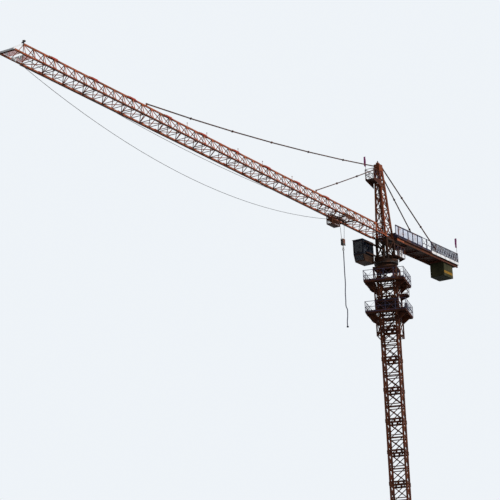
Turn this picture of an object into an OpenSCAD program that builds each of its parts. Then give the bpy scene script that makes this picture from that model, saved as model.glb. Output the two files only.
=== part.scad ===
// Hammerhead tower crane with a climbing cage, as a 1:2 model. Millimetres, +Z up.
// The origin is the centre of the mast's foot, on the ground. The jib points along +X at rest.

/* [Mast] */
// Width of the mast over its legs
mast_w = 800; // [600:10:1000]
// Width of a square mast leg
leg_w = 80; // [50:1:120]
// Height of one mast section
section_h = 1400; // [1000:10:1800]
// Number of mast sections
sections = 18; // [6:1:18]
// Width of a mast bracing bar
mast_bar = 34; // [20:1:50]
// Thickness of the joint sleeve that stands out of a leg
sleeve_t = 14; // [5:1:30]
// Height of a joint sleeve
sleeve_h = 170; // [80:5:300]
// Height of the anchor frame below the first section
base_h = 600; // [300:10:900]
// Width of the square foot under each leg
foot_w = 150; // [120:5:200]
// Radius of the anchor bolt's hole in a foot
anchor_r = 11; // [6:0.5:14]
// Thickness of the feet and of the anchor frame's beams
foot_t = 60; // [30:5:100]
// Angle from the mast's faces to the jib, as the crane stands
mast_turn = 18; // [-45:1:45]

/* [Climbing cage] */
// Width of the cage over its posts
cage_w = 1080; // [1040:10:1300]
// Width of a cage post
cage_post = 60; // [40:1:80]
// Height of the cage below the slewing support
cage_h = 3160; // [2800:10:3600]
// Number of braced bays up the cage
cage_bays = 4; // [3:1:6]
// Width of a cage bracing bar
cage_bar = 30; // [20:1:40]
// Width of the walkway round the cage
walk_w = 385; // [300:5:500]
// Thickness of a walkway floor
walk_t = 24; // [10:1:40]
// Height of the upper walkway's floor below the top of the cage
upper_walk = 660; // [500:10:900]
// Height of the lower walkway's floor below the top of the cage
lower_walk = 2110; // [1800:10:2400]
// Depth of the slanted brackets under a walkway
bracket_h = 350; // [200:10:500]
// Height of a walkway's handrail
rail_h = 500; // [400:10:600]
// Height of the small side platform below the top of the cage
side_walk = 1260; // [1160:10:1360]
// Length of the small side platform
side_walk_x = 520; // [300:10:700]
// Thickness of rails and rail posts
rail_d = 20; // [12:1:30]

/* [Slewing] */
// Height of the fixed support between the mast and the slewing ring
support_h = 290; // [250:10:400]
// Outer radius of the slewing ring
ring_r = 530; // [480:10:560]
// Radial width of the slewing ring
ring_w = 100; // [60:5:140]
// Height of the turntable above the slewing ring
table_h = 270; // [200:10:350]
// Running gap at the slewing ring
run_gap = 0.3; // [0.1:0.1:1]

/* [Turret] */
// Length of the turret along the jib
turret_x = 740; // [600:10:900]
// Width of the turret
turret_y = 600; // [500:10:640]
// Height of the turret's open frame
turret_h = 880; // [700:10:1000]
// Width of a turret leg
turret_leg = 90; // [60:5:110]
// Width of a turret bracing bar
turret_bar = 40; // [24:1:60]
// Length of the platform beside the turret
turret_walk_x = 980; // [700:10:1100]
// Width of the platform beside the turret
turret_walk_y = 290; // [200:10:400]

/* [Tower head] */
// Height of the tower head above the jib's pins
head_h = 3500; // [3000:10:4000]
// Width of the head's legs at its foot
head_leg = 70; // [40:1:90]
// Width over the legs at the top of the head
head_top = 200; // [160:5:300]
// Distance that the rear legs' top lies behind the front legs' top
head_top_x = 240; // [160:5:400]
// Number of braced bays up the head
head_bays = 5; // [3:1:8]
// Width of a head bracing bar
head_bar = 34; // [20:1:50]
// Depth of the head platform below the top of the head
head_walk = 900; // [600:10:1300]
// Length of the head platform
head_walk_x = 720; // [500:10:900]
// Height of the flag pole above the head platform
head_pole = 1100; // [900:10:1300]
// Length of a furled flag
flag_l = 460; // [300:10:500]

/* [Jib] */
// Upward slope of the jib, degrees
jib_rise = 1.5; // [0:0.1:3]
// Width between the centres of the two lower chords
jib_w = 664; // [640:2:760]
// Height of the upper chord above the lower chords
jib_h = 590; // [450:5:750]
// Length of one lattice panel
panel = 600; // [500:10:700]
// Number of lattice panels
panels = 42; // [30:1:42]
// Length of the jib's tip past the last panel
tip_l = 1200; // [1000:10:1300]
// Length of the upper chord past the last panel
top_out = 300; // [200:10:400]
// Distance of the ropes' bar past the last panel
axle_out = 600; // [500:10:700]
// Width of a lower chord
chord_w = 60; // [40:1:80]
// Width of the upper chord
top_w = 56; // [40:1:80]
// Width across a jib bracing tube
jib_bar = 32; // [20:1:44]
// Width of the rail on which the trolley runs
rail_w = 40; // [30:1:50]
// Panel at which the long tie joins the jib
long_panel = 30; // [25:1:30]
// Panel at which the short tie joins the jib
short_panel = 9; // [6:1:14]
// Thickness of a tie bar
tie_d = 40; // [24:1:60]
// Sag of the long tie at its middle
tie_sag = 200; // [0:10:300]
// Number of panels in one section of the jib
section_panels = 4; // [3:1:6]

/* [Counter-jib] */
// Length of the counter-jib from the mast's axis
cjib_l = 6400; // [6000:10:7000]
// Width over the counter-jib's beams
cjib_w = 860; // [820:10:1000]
// Height of the counter-jib's beams
beam_h = 125; // [80:5:160]
// Width of the counter-jib's beams
beam_w = 60; // [40:5:80]
// Width by which the floor reaches past the beams
deck_over = 60; // [20:5:120]
// Thickness of the floor grating
deck_t = 24; // [10:1:40]
// Height of the counter-jib's handrail above the floor
cjib_rail = 525; // [400:5:600]
// Height of the toe boards along the floor
toe_h = 90; // [50:5:120]
// Height of the flag pole at the counter-jib's end
cjib_pole = 1300; // [1100:10:1600]
// Number of counterweight slabs
slabs = 3; // [2:1:3]
// Thickness of one counterweight slab
slab_t = 290; // [200:5:300]
// Depth by which the slabs hang below the jib's pins
slab_h = 675; // [400:5:1000]
// Distance from the counter-jib's end to the rearmost slab
slab_back = 450; // [200:10:600]
// Distance of the ties' pins in front of the counterweight
ctie_at = 450; // [450:50:1050]
// Distance of the winch from the mast's axis
winch_at = 2800; // [1500:50:3400]
// Length of the winch's bed
winch_x = 900; // [850:10:1000]
// Width of the winch's bed
winch_y = 600; // [580:10:700]
// Thickness of a counter-jib tie
ctie_d = 40; // [24:1:60]

/* [Cab] */
// Length of the cab along the jib
cab_x = 950; // [800:10:1100]
// Width of the cab
cab_y = 520; // [450:10:600]
// Height of the cab
cab_z = 980; // [900:10:1100]
// Thickness of the cab's walls
cab_t = 24; // [10:1:40]
// Distance of the cab's rear wall from the mast's axis
cab_at = 440; // [440:10:600]
// Gap between the turret and the cab
cab_gap = 75; // [60:5:120]
// Depth of the cab's floor below the jib's pins
cab_drop = 1200; // [1100:10:1300]
// Length by which the cab's lower front slopes back
nose_x = 130; // [80:5:200]
// Height of the cab's sloping lower front
nose_z = 330; // [250:5:400]

/* [Trolley and hook] */
// Distance of the trolley from the mast's axis, as the crane stands
trolley_s = 3875; // [3000:25:6000]
// Length of the trolley's frame
trolley_l = 900; // [700:10:1100]
// Radius of a trolley wheel
wheel_r = 40; // [30:1:50]
// Length of the service basket
basket_l = 640; // [500:10:1000]
// Width of the service basket
basket_w = 300; // [240:10:640]
// Depth of the service basket's floor below the lower chords
basket_z = 550; // [450:10:650]
// Height of the hook block's sheave below the lower chords
block_z = 990; // [800:10:1600]
// Radius of the hook block's sheave
block_r = 100; // [80:1:120]
// Diameter of the hoist rope
rope_d = 18; // [10:1:24]
// Diameter of the hanging sling
sling_d = 50; // [30:1:60]
// Sag of the slack rope on the right of the jib
low_sag = 1270; // [1000:10:1400]
// Sag of the slack rope on the left of the jib
high_sag = 520; // [300:10:700]

/* [Hidden] */

mast_top = base_h + sections * section_h;
slew_z = mast_top + support_h;
table_top = slew_z + run_gap + table_h;
jib_z = table_top + turret_h;
beam_z = jib_z - 45;
deck_z = beam_z + beam_h;
half = mast_w / 2;
chalf = cage_w / 2;
cage_bottom = mast_top - cage_h;
jib_foot = turret_x / 2 + 60;
jib_end = (panels + 1) * panel;
lug_t = 24;
lug_l = 80;
pin_r = 16;
tip_s = jib_end + tip_l;
top_end = jib_end + top_out;
axle_s = jib_end + axle_out;
// Rope guides on the upper chord, in panels from the mast's axis
guide_at = [13.3, 17.2, 20.3, 24.1, 26.4];
slab_x = slab_back - cjib_l;
slab_front = slab_x + slabs * (slab_t + 10);
sheave_r = 80;
sheave_x = 120;
sheave_n = 95;
eye_r = 35;
shank_r = 22;
side_pane = 380;
bowl_r = 50;
rail_posts = 13;
pole_d = 18;
flag_d = 80;
ring_hang = 46;
beam_deep = 600;
// Depths of the guide shoes below the top of the cage, the second clear of the jacking beam
shoe_drop = [640, lower_walk + 240, cage_h - 100];
hook_wire = 18;
ring_wire = 12;
foot_plate = 30;
ring_drop = bowl_r - hook_wire + ring_hang - ring_wire - run_gap;
hook_drop = 290;
// Pins of the ties: at the head, on the jib and on the counter-jib
head_pin = [turret_x / 2 + 50, 0, jib_z + head_h - 120];
head_pin2 = [turret_x / 2 + 50, 0, jib_z + head_h - 240];
rear_reach = 62;
rear_x = turret_x / 2 - head_top_x - head_leg - rear_reach;
rear_pin = [rear_x, head_top / 2, jib_z + head_h - 120];
deck_pin = [slab_front + ctie_at, cjib_w / 2 - beam_w / 2, deck_z + 110];
// Feet of the two flag poles: on the head platform and at the counter-jib's end
pole_feet = [
    [turret_x / 2 + run_gap + head_walk_x - rail_d - 0.8 * pole_d, -225 + rail_d + 0.8 * pole_d,
        jib_z + head_h - head_walk + walk_t, head_pole],
    [-cjib_l + rail_d + 0.8 * pole_d, cjib_w / 2 + deck_over - rail_d - 0.8 * pole_d,
        deck_z + deck_t, cjib_pole]];
// The hanging sling's route, from the ring down
sling_pts = [[0, 0, 0], [8, 4, -300], [-6, -6, -700], [10, 5, -1100], [-5, 0, -1500],
    [25, -10, -1900], [60, 10, -2250], [20, -15, -2500], [-40, 10, -2650], [-60, 0, -2800],
    [-20, 10, -3000], [10, 0, -3200], [0, 0, -3450]];

red = [0.62, 0.17, 0.08];
dark = [0.22, 0.1, 0.07];

// A square bar of width w from point a to point b
module bar(a, b, w) {
    d = b - a;
    l = norm(d);
    translate(a) rotate([0, acos(d[2] / l), atan2(d[1], d[0])])
        translate([-w / 2, -w / 2, 0]) cube([w, w, l]);
}

// A six-sided tube of width w from point a to point b
module rod(a, b, w) {
    d = b - a;
    l = norm(d);
    translate(a) rotate([0, acos(d[2] / l), atan2(d[1], d[0])])
        cylinder(d = w, h = l, $fn = 6);
}

// A round tube swept along the points, with n sides
module tube(pts, d, n = 8) {
    last = len(pts) - 1;
    dir = [for (i = [0:last]) let (v = pts[min(i + 1, last)] - pts[max(i - 1, 0)]) v / norm(v)];
    side = [for (v = dir) let (s = cross(v, abs(v[1]) > 0.9 ? [1, 0, 0] : [0, 1, 0])) s / norm(s)];
    polyhedron(
        points = [for (i = [0:last]) for (k = [0:n - 1])
            let (a = 360 * k / n, u = side[i], w = cross(dir[i], side[i]))
            pts[i] + d / 2 * (cos(a) * u + sin(a) * w)],
        faces = concat(
            [[for (k = [n - 1:-1:0]) k]],
            [for (i = [0:last - 1]) for (k = [0:n - 1])
                let (j = (k + 1) % n)
                [i * n + k, i * n + j, (i + 1) * n + j, (i + 1) * n + k]],
            [[for (k = [0:n - 1]) last * n + k]]));
}

// Turned with the mast
module on_mast(z = 0) {
    rotate([0, 0, mast_turn]) translate([0, 0, z]) children();
}

// Sloped with the jib about its foot pins, with the children's X along it
module on_jib() {
    translate([jib_foot, 0, jib_z]) rotate([0, -jib_rise, 0]) translate([-jib_foot, 0, 0])
        children();
}

// A point of the jib, s along it, t across it and n above the lower chords
function jib_pt(s, t, n) = [jib_foot + (s - jib_foot) * cos(jib_rise) - n * sin(jib_rise), t,
    jib_z + (s - jib_foot) * sin(jib_rise) + n * cos(jib_rise)];

// Crossed diagonals and level bars between two uprights, in the XZ plane
module braced_bay(w, h, b, level = true) {
    bar([-w / 2, 0, -0.7 * b], [w / 2, 0, h + 0.7 * b], b);
    bar([-w / 2, 0, h + 0.7 * b], [w / 2, 0, -0.7 * b], b);
    if (level) bar([-w / 2, 0, 0], [w / 2, 0, 0], b + 4);
}

// The bracing of one mast face: two crossed bays in each section
module mast_bracing() {
    edge = sleeve_h / 2 - mast_bar;
    mid = section_h / 2;
    x = half - leg_w / 2;
    for (i = [0:sections - 1]) translate([0, 0, base_h + i * section_h])
        for (b = [[edge, mid - 1.6 * mast_bar], [mid + 1.6 * mast_bar, section_h - edge]]) {
            for (z = b) bar([-x, 0, z], [x, 0, z], mast_bar + 4);
            bar([-x, 0, b[0] - 12], [x, 0, b[1] + 12], mast_bar);
            bar([-x, 0, b[1] + 12], [x, 0, b[0] - 12], mast_bar);
        }
}

// One leg, with the sleeves that join its sections, at the corner on +X and +Y
module mast_leg() {
    inner = half - leg_w;
    translate([inner, inner, base_h]) cube([leg_w, leg_w, sections * section_h]);
    for (i = [0:sections])
        translate([inner, inner, base_h + i * section_h - (i == 0 ? 0 : sleeve_h / 2)])
            cube([leg_w + sleeve_t, leg_w + sleeve_t,
                i == 0 || i == sections ? sleeve_h / 2 : sleeve_h]);
}

// A mast face with its two legs
module mast_face() {
    color(dark) on_mast() {
        mast_leg();
        mirror([0, 1, 0]) mast_leg();
        intersection() {
            translate([half - leg_w / 2, 0, 0]) rotate([0, 0, 90]) mast_bracing();
            translate([0, leg_w - half, 0]) cube([2 * half, 2 * (half - leg_w), mast_top]);
        }
    }
}

// The bracing of a mast face whose legs belong to its neighbours
module mast_web(side) {
    color(dark) on_mast() intersection() {
        translate([0, side * (half - leg_w / 2), 0]) mast_bracing();
        translate([leg_w - half, -half, 0]) cube([2 * (half - leg_w), 2 * half, mast_top]);
    }
}

module mast_front() { mast_face(); }
module mast_back() { rotate([0, 0, 180]) mast_face(); }
module mast_left() { mast_web(1); }
module mast_right() { mast_web(-1); }

// Feet, stub legs and a crossed frame that hold the mast to its foundation
module anchor_frame() {
    reach = half - leg_w / 2;
    hole = reach + (foot_w + leg_w) / 4;
    color(dark) on_mast() difference() {
        union() {
            for (sx = [-1, 1]) for (sy = [-1, 1]) translate([sx * reach, sy * reach, 0]) {
                translate([-foot_w / 2, -foot_w / 2, 0]) cube([foot_w, foot_w, foot_t / 2]);
                translate([-leg_w / 2, -leg_w / 2, 0]) cube([leg_w, leg_w, base_h]);
            }
            for (a = [0:90:270]) rotate([0, 0, a]) {
                translate([reach - leg_w / 2, -reach, 0]) cube([leg_w, 2 * reach, foot_t]);
                rotate([0, 0, 45]) translate([0, -leg_w / 2, 0])
                    cube([reach * sqrt(2), leg_w, foot_t - 6]);
                translate([reach, 0, foot_t + 2 * mast_bar]) rotate([0, 0, 90])
                    braced_bay(2 * reach, base_h - foot_t - 4 * mast_bar, mast_bar, false);
            }
        }
        for (sx = [-1, 1]) for (sy = [-1, 1])
            translate([sx * hole, sy * hole, -1]) cylinder(r = anchor_r, h = foot_t, $fn = 32);
    }
}

// The bracing of one side of the climbing cage
module cage_bracing() {
    bay = cage_h / cage_bays;
    for (i = [0:cage_bays - 1]) translate([0, 0, cage_bottom + i * bay])
        translate([0, 0, i == 0 ? cage_bar / 2 : 0]) braced_bay(cage_w, bay, cage_bar);
    top = mast_top - cage_bar / 2 - 3;
    bar([-chalf, 0, top], [chalf, 0, top], cage_bar + 4);
}

module cage_inside() {
    translate([-chalf, cage_post - chalf, cage_bottom])
        cube([cage_w, cage_w - 2 * cage_post, cage_h]);
}

// A cage side with its two posts and the shoes that guide it on the mast's legs
module cage_side() {
    inner = chalf - cage_post;
    shoe = inner - half - run_gap;
    color(red) on_mast() {
        for (sy = [-1, 1]) {
            translate([inner, sy > 0 ? inner : -chalf, cage_bottom])
                cube([cage_post, cage_post, cage_h]);
            for (z = shoe_drop)
                translate([half + run_gap, sy > 0 ? half - leg_w : -inner, mast_top - z])
                    cube([shoe + cage_post / 2, inner - half + leg_w, 90]);
        }
        intersection() {
            translate([chalf - cage_post / 2, 0, 0]) rotate([0, 0, 90]) cage_bracing();
            cage_inside();
        }
    }
}

module cage_web(side) {
    color(red) on_mast() intersection() {
        translate([0, side * (chalf - cage_post / 2), 0]) cage_bracing();
        rotate([0, 0, 90]) cage_inside();
    }
}

module cage_front() { cage_side(); }
module cage_back() { rotate([0, 0, 180]) cage_side(); }
module cage_left() { cage_web(1); }
module cage_right() { cage_web(-1); }

// A walkway round the cage with its top at z, on slanted brackets
module walkway(z) {
    out = chalf + walk_w;
    color(red) on_mast(z - walk_t) {
        difference() {
            translate([-out, -out, 0]) cube([2 * out, 2 * out, walk_t]);
            translate([-chalf, -chalf, -1]) cube([cage_w, cage_w, walk_t + 2]);
        }
        for (a = [0:90:270]) rotate([0, 0, a]) for (y = [-1, 1] * (chalf - cage_post / 2))
            translate([chalf, y + 6, 0]) rotate([90, 0, 0]) linear_extrude(12)
                polygon([[0, 1], [walk_w, 1], [walk_w, -50], [0, -bracket_h]]);
    }
}

// Handrails round a walkway whose floor is at z
module walkway_rails(z) {
    out = chalf + walk_w - rail_d / 2;
    color([0.25, 0.3, 0.5]) on_mast(z) for (a = [0:90:270]) rotate([0, 0, a]) {
        for (k = [-1:0.5:0.5]) bar([out, k * out, 0], [out, k * out, rail_h], rail_d);
        for (h = [0.5, 1]) bar([out, -out, rail_h * h - rail_d / 2],
            [out, out, rail_h * h - rail_d / 2], rail_d);
        bar([out, -out, rail_d], [out, out, rail_d], rail_d);
    }
}

module upper_walkway() { walkway(mast_top - upper_walk); }
module lower_walkway() { walkway(mast_top - lower_walk); }
module upper_walkway_rails() { walkway_rails(mast_top - upper_walk); }
module lower_walkway_rails() { walkway_rails(mast_top - lower_walk); }

// A small railed platform on the left side of the cage, between the walkways
module side_platform() {
    y = chalf + run_gap;
    w = walk_w;
    x = side_walk_x / 2;
    h = rail_h - 120;
    color(dark) on_mast(mast_top - side_walk - walk_t) {
        translate([-x, y, 0]) cube([2 * x, w, walk_t]);
        translate([-chalf, y, -50]) cube([2 * chalf, 14, 50 + walk_t / 2]);
        for (sx = [-1, 1]) {
            translate([sx * (x - 12) + 6, y, 0]) rotate([90, 0, -90]) linear_extrude(12)
                polygon([[0, 1], [-w, 1], [-w, -30], [0, -bracket_h / 2]]);
            for (v = [rail_d / 2, w - rail_d / 2])
                bar([sx * (x - rail_d / 2), y + v, 0], [sx * (x - rail_d / 2), y + v, h], rail_d);
            for (k = [0.5, 1]) bar([sx * (x - rail_d / 2), y, k * h],
                [sx * (x - rail_d / 2), y + w, k * h], rail_d - 2);
        }
        for (k = [0.5, 1]) bar([-x, y + w - rail_d / 2, k * h], [x, y + w - rail_d / 2, k * h],
            rail_d - 2);
    }
}

// The deep cross beam and the cylinder that jack the cage up the mast
module jacking_beam() {
    x0 = half + sleeve_t + 4;
    x1 = chalf - cage_post;
    y = chalf - cage_post / 2 - cage_bar / 2 - 2 - run_gap;
    color(dark) on_mast(mast_top - lower_walk + 60) {
        difference() {
            translate([x0, -y, 0]) cube([x1 - x0, 2 * y, beam_deep]);
            for (k = [-0.6, -0.2, 0.2, 0.6]) translate([x0 + 8, k * y - 80, 12])
                cube([x1 - x0, 160, beam_deep - 24]);
        }
        translate([(x0 + x1) / 2, 0, beam_deep - 1]) cylinder(d = x1 - x0 - 10, h = 420);
    }
}

// Oil tank and motor that feed the cylinder, on the lower walkway
module power_pack() {
    x = -140;
    y = chalf + 150;
    color(dark) on_mast(mast_top - lower_walk + run_gap) {
        for (sx = [0, 1]) translate([x + sx * 230, y, 0]) cube([50, 180, 31]);
        translate([x, y, 30]) cube([280, 180, 200]);
        translate([x + 140, y + 90, 229]) cylinder(d = 150, h = 200, $fn = 32);
        translate([x + 140, y + 90, 428]) cylinder(d = 110, h = 40, $fn = 32);
    }
}

// Flange, drum and ring that carry the slewing part
module slewing_support() {
    color(dark) on_mast(mast_top) {
        difference() {
            translate([-chalf, -chalf, 0]) cube([cage_w, cage_w, 50]);
            translate([0, 0, -1]) cylinder(r = ring_r - ring_w - 60, h = 52, $fn = 64);
        }
        rotate_extrude($fn = 64)
            polygon([[ring_r - ring_w - 60, 50], [ring_r, 50], [ring_r - 70, 130],
                [ring_r - 70, support_h - 90], [ring_r, support_h - 60], [ring_r, support_h],
                [ring_r - ring_w - 60, support_h]]);
    }
}

// Rotating ring and box that carry the turret
module turntable() {
    z = slew_z + run_gap;
    color(dark) difference() {
        union() {
            translate([0, 0, z]) cylinder(r = ring_r + 20, h = 110, $fn = 64);
            translate([-turret_x / 2 - 60, -turret_y / 2 - 60, z + 100])
                cube([turret_x + 120, turret_y + 120, table_h - 100]);
        }
        translate([0, 0, z - 1]) cylinder(r = 230, h = table_h + 2, $fn = 48);
    }
}

// A lug with a bore along Y, in the XZ plane, reaching l from X = 0
module lug(l, h, bore) {
    rotate([90, 0, 0]) translate([0, 0, -lug_t / 2]) linear_extrude(lug_t) difference() {
        union() {
            translate([0, -h / 2]) square([l, h]);
            translate([l, 0]) circle(d = h, $fn = 32);
        }
        translate([l, 0]) circle(r = bore, $fn = 32);
    }
}

// Children at the centre of the hook's bowl
module at_hook() {
    translate([jib_pt(trolley_s, 0, 0)[0], 0, jib_z - block_z - hook_drop]) children();
}

// Four legs and crossed braces under the jib's foot, with the lugs of jib and counter-jib
module turret_frame() {
    x = turret_x / 2;
    y = turret_y / 2;
    color(red) {
        for (sx = [-1, 1]) for (sy = [-1, 1])
            translate([sx > 0 ? x - turret_leg : -x, sy > 0 ? y - turret_leg : -y, table_top])
                cube([turret_leg, turret_leg, turret_h]);
        for (sy = [-1, 1]) translate([0, sy * (y - turret_leg / 2), table_top + 2 * turret_bar])
            braced_bay(turret_x - turret_leg, turret_h - 4 * turret_bar, turret_bar);
        for (sx = [-1, 1]) translate([sx * (x - turret_leg / 2), 0, table_top + 2 * turret_bar])
            rotate([0, 0, 90])
                braced_bay(turret_y - turret_leg, turret_h - 4 * turret_bar, turret_bar);
        for (sy = [-1, 1]) translate([-x, sy > 0 ? y - turret_leg : -y, jib_z - turret_leg])
            cube([turret_x, turret_leg, turret_leg]);
        for (sx = [-1, 1]) translate([sx > 0 ? x - turret_leg : -x, -y, jib_z - turret_leg])
            cube([turret_leg, turret_y, turret_leg]);
        for (sy = [-1, 1]) translate([x, sy * (y - lug_t / 2), jib_z])
            lug(60, 90, pin_r + run_gap);
        for (sy = [-1, 1]) translate([-x, sy * (y - lug_t / 2), jib_z]) mirror([1, 0, 0])
            lug(60, 90, pin_r + run_gap);
    }
}

// A railed platform on the turntable's left side
module turret_platform() {
    y = turret_y / 2 + 60 + run_gap;
    w = turret_walk_y;
    x0 = -turret_x / 2 - 280;
    post = rail_d / 2;
    deep = table_h - 110 - walk_t - 20 - 6;
    color(red) translate([x0, y, table_top - walk_t - 20]) {
        cube([turret_walk_x, w, walk_t]);
        for (x = [60, turret_walk_x / 2, turret_walk_x - 72])
            translate([x + 12, 0, 0]) rotate([90, 0, -90]) linear_extrude(12)
                polygon([[0, 1], [-w, 1], [-w, -24], [0, -deep]]);
        for (k = [0:3]) {
            x = post + k * (turret_walk_x - rail_d) / 3;
            bar([x, w - post, 0], [x, w - post, rail_h + walk_t], rail_d);
        }
        for (h = [0.5, 1]) {
            bar([0, w - post, h * rail_h + walk_t], [turret_walk_x, w - post, h * rail_h + walk_t],
                rail_d - 2);
            for (x = [post, turret_walk_x - post])
                bar([x, 0, h * rail_h + walk_t], [x, w, h * rail_h + walk_t], rail_d - 2);
        }
        for (x = [post, turret_walk_x - post]) bar([x, post, 0], [x, post, rail_h + walk_t], rail_d);
    }
}

// The eye plate of a tie at the head: bored at p, with its root l back along X
module head_eye(p, l, turn = 0) {
    translate(p) rotate([0, 0, turn]) rotate([90, 0, 0]) translate([0, 0, -lug_t / 2])
        linear_extrude(lug_t) difference() {
            union() {
                circle(r = eye_r, $fn = 32);
                translate([l > 0 ? -l : 0, -eye_r]) square([abs(l), 2 * eye_r]);
            }
            circle(r = pin_r + run_gap, $fn = 32);
        }
}

// Points of the head's leg at a share k of its height
function head_pt(sx, sy, k) = let (x = turret_x / 2 - head_leg / 2, y = turret_y / 2 - head_leg)
    [sx > 0 ? x : -x + k * (2 * x - head_top_x), sy * (y + k * (head_top / 2 - y)),
        jib_z + k * head_h];

// The tower head: an upright face towards the jib and a sloping one behind
module tower_head() {
    color(red) intersection() {
        union() {
            for (sx = [-1, 1]) for (sy = [-1, 1])
                bar(head_pt(sx, sy, -0.02), head_pt(sx, sy, 1), head_leg);
            for (i = [0:head_bays]) let (k = max(i / head_bays, 0.02), m = (i + 1) / head_bays) {
                for (s = [-1, 1]) {
                    bar(head_pt(s, -1, k), head_pt(s, 1, k), head_bar);
                    bar(head_pt(-1, s, k), head_pt(1, s, k), head_bar);
                    if (i < head_bays) {
                        bar(head_pt(-1, s, k), head_pt(1, s, m), head_bar);
                        bar(head_pt(1, s, k), head_pt(-1, s, m), head_bar);
                        bar(head_pt(s, -1, k), head_pt(s, 1, m), head_bar);
                        bar(head_pt(s, 1, k), head_pt(s, -1, m), head_bar);
                    }
                }
            }
        }
        translate([-turret_x, -turret_y, jib_z]) cube([2 * turret_x, 2 * turret_y, head_h]);
    }
    color(red) {
        x0 = turret_x / 2 - head_top_x - head_leg;
        translate([x0, -head_top / 2 - head_leg / 2 - 5, jib_z + head_h - 300])
            cube([turret_x / 2 + 5 - x0, head_top + head_leg + 10, 310]);
        head_eye(head_pin, 60);
        head_eye(head_pin2, 60);
        for (sy = [-1, 1]) {
            q = [deck_pin[0], sy * deck_pin[1], deck_pin[2]];
            p = [rear_pin[0], sy * rear_pin[1], rear_pin[2]];
            head_eye(p, -rear_reach - 20, atan2((p - q)[1], (p - q)[0]));
        }
        for (sy = [-1, 1]) translate([turret_x / 2 - 220, sy * 45 - 8, jib_z + head_h])
            cube([160, 16, 110]);
        translate([turret_x / 2 - 140, 0, jib_z + head_h + 60]) rotate([90, 0, 0])
            cylinder(r = 70, h = 60, center = true, $fn = 32);
        translate([turret_x / 2 - 140, 0, jib_z + head_h + 60]) rotate([90, 0, 0])
            cylinder(r = 14, h = 100, center = true, $fn = 32);
    }
}

// Platform on the jib side of the head
module head_platform() {
    x = turret_x / 2;
    y = 225;
    post = rail_d / 2;
    color(dark) translate([x + run_gap, 0, jib_z + head_h - head_walk]) {
        translate([0, -y, 0]) cube([head_walk_x, 2 * y, walk_t]);
        for (sy = [-1, 1]) {
            translate([0, sy * (y - rail_d) + rail_d / 2, 0]) rotate([90, 0, 0])
                linear_extrude(rail_d)
                    polygon([[0, 1], [head_walk_x, 1], [head_walk_x, -30], [0, -240]]);
            for (x = [post, head_walk_x / 2, head_walk_x - post])
                bar([x, sy * (y - post), 0], [x, sy * (y - post), rail_h], rail_d);
            for (h = [0.5, 1]) bar([0, sy * (y - post), h * rail_h],
                [head_walk_x, sy * (y - post), h * rail_h], rail_d);
        }
        for (h = [0.5, 1]) bar([head_walk_x - post, -y, h * rail_h],
            [head_walk_x - post, y, h * rail_h], rail_d);
    }
}

module flag_poles() {
    color(dark) for (f = pole_feet) translate([f[0], f[1], f[2] + run_gap]) {
        cylinder(d = 2 * pole_d, h = 12, $fn = 32);
        cylinder(d = pole_d, h = f[3], $fn = 32);
        translate([0, 0, f[3] - 1]) cylinder(d = 1.6 * pole_d, h = 14, $fn = 32);
    }
}

// A flag hangs in folds beside the top of each pole
module flags() {
    color([0.55, 0.08, 0.25]) for (f = pole_feet)
        translate([f[0] + pole_d / 2 + run_gap + flag_d / 2, f[1], f[2] + f[3] - flag_l - 10])
            cylinder(d = flag_d, h = flag_l, $fn = 12);
}

// Lower chords with their running rails, cross struts and diagonals
module jib_floor() {
    y = jib_w / 2;
    inner = y - chord_w / 2;
    color(red) on_jib() {
        for (sy = [-1, 1]) {
            translate([jib_foot - 40, sy * y - chord_w / 2, -chord_w / 2])
                cube([tip_s - jib_foot + 40, chord_w, chord_w]);
            translate([jib_foot + 200, sy > 0 ? y : -y - chord_w / 2 - rail_w, -chord_w / 2])
                cube([jib_end - jib_foot - 200, chord_w / 2 + rail_w, 10]);
            translate([jib_foot, sy * (inner - lug_t), 0]) rotate([90, 0, 0])
                cylinder(r = pin_r, h = 2 * lug_t + 20, center = true, $fn = 32);
            for (k = [2 * section_panels:section_panels:panels])
                translate([(k + 1) * panel + 100, sy * y - 20, 0]) cube([100, 40, chord_w / 2 + 26]);
        }
        for (k = [0:panels]) {
            rod([(k + 1) * panel, -y, 0], [(k + 1) * panel, y, 0], jib_bar);
            if (k < panels)
                rod([(k + 1) * panel, k % 2 == 0 ? -y : y, 0],
                    [(k + 2) * panel, k % 2 == 0 ? y : -y, 0], jib_bar);
        }
    }
}

// The zigzag between one lower chord and the upper chord
module jib_zigzag(side) {
    y = side * jib_w / 2;
    color(red) on_jib() difference() {
        union() {
            rod([jib_foot + 20, y, 0], [1.5 * panel, 0, jib_h], jib_bar);
            for (k = [0:panels - 1]) {
                rod([(k + 1) * panel, y, 0], [(k + 1.5) * panel, 0, jib_h], jib_bar);
                rod([(k + 1.5) * panel, 0, jib_h], [(k + 2) * panel, y, 0], jib_bar);
            }
        }
        translate([0, y - chord_w / 2, -chord_w / 2]) cube([tip_s, chord_w, chord_w]);
        translate([0, -top_w / 2, jib_h - top_w / 2]) cube([tip_s, top_w, top_w]);
        translate([0, side > 0 ? -jib_w : 0, -jib_h]) cube([tip_s, jib_w, 3 * jib_h]);
    }
}

module jib_left_side() { jib_zigzag(1); }
module jib_right_side() { jib_zigzag(-1); }

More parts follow.
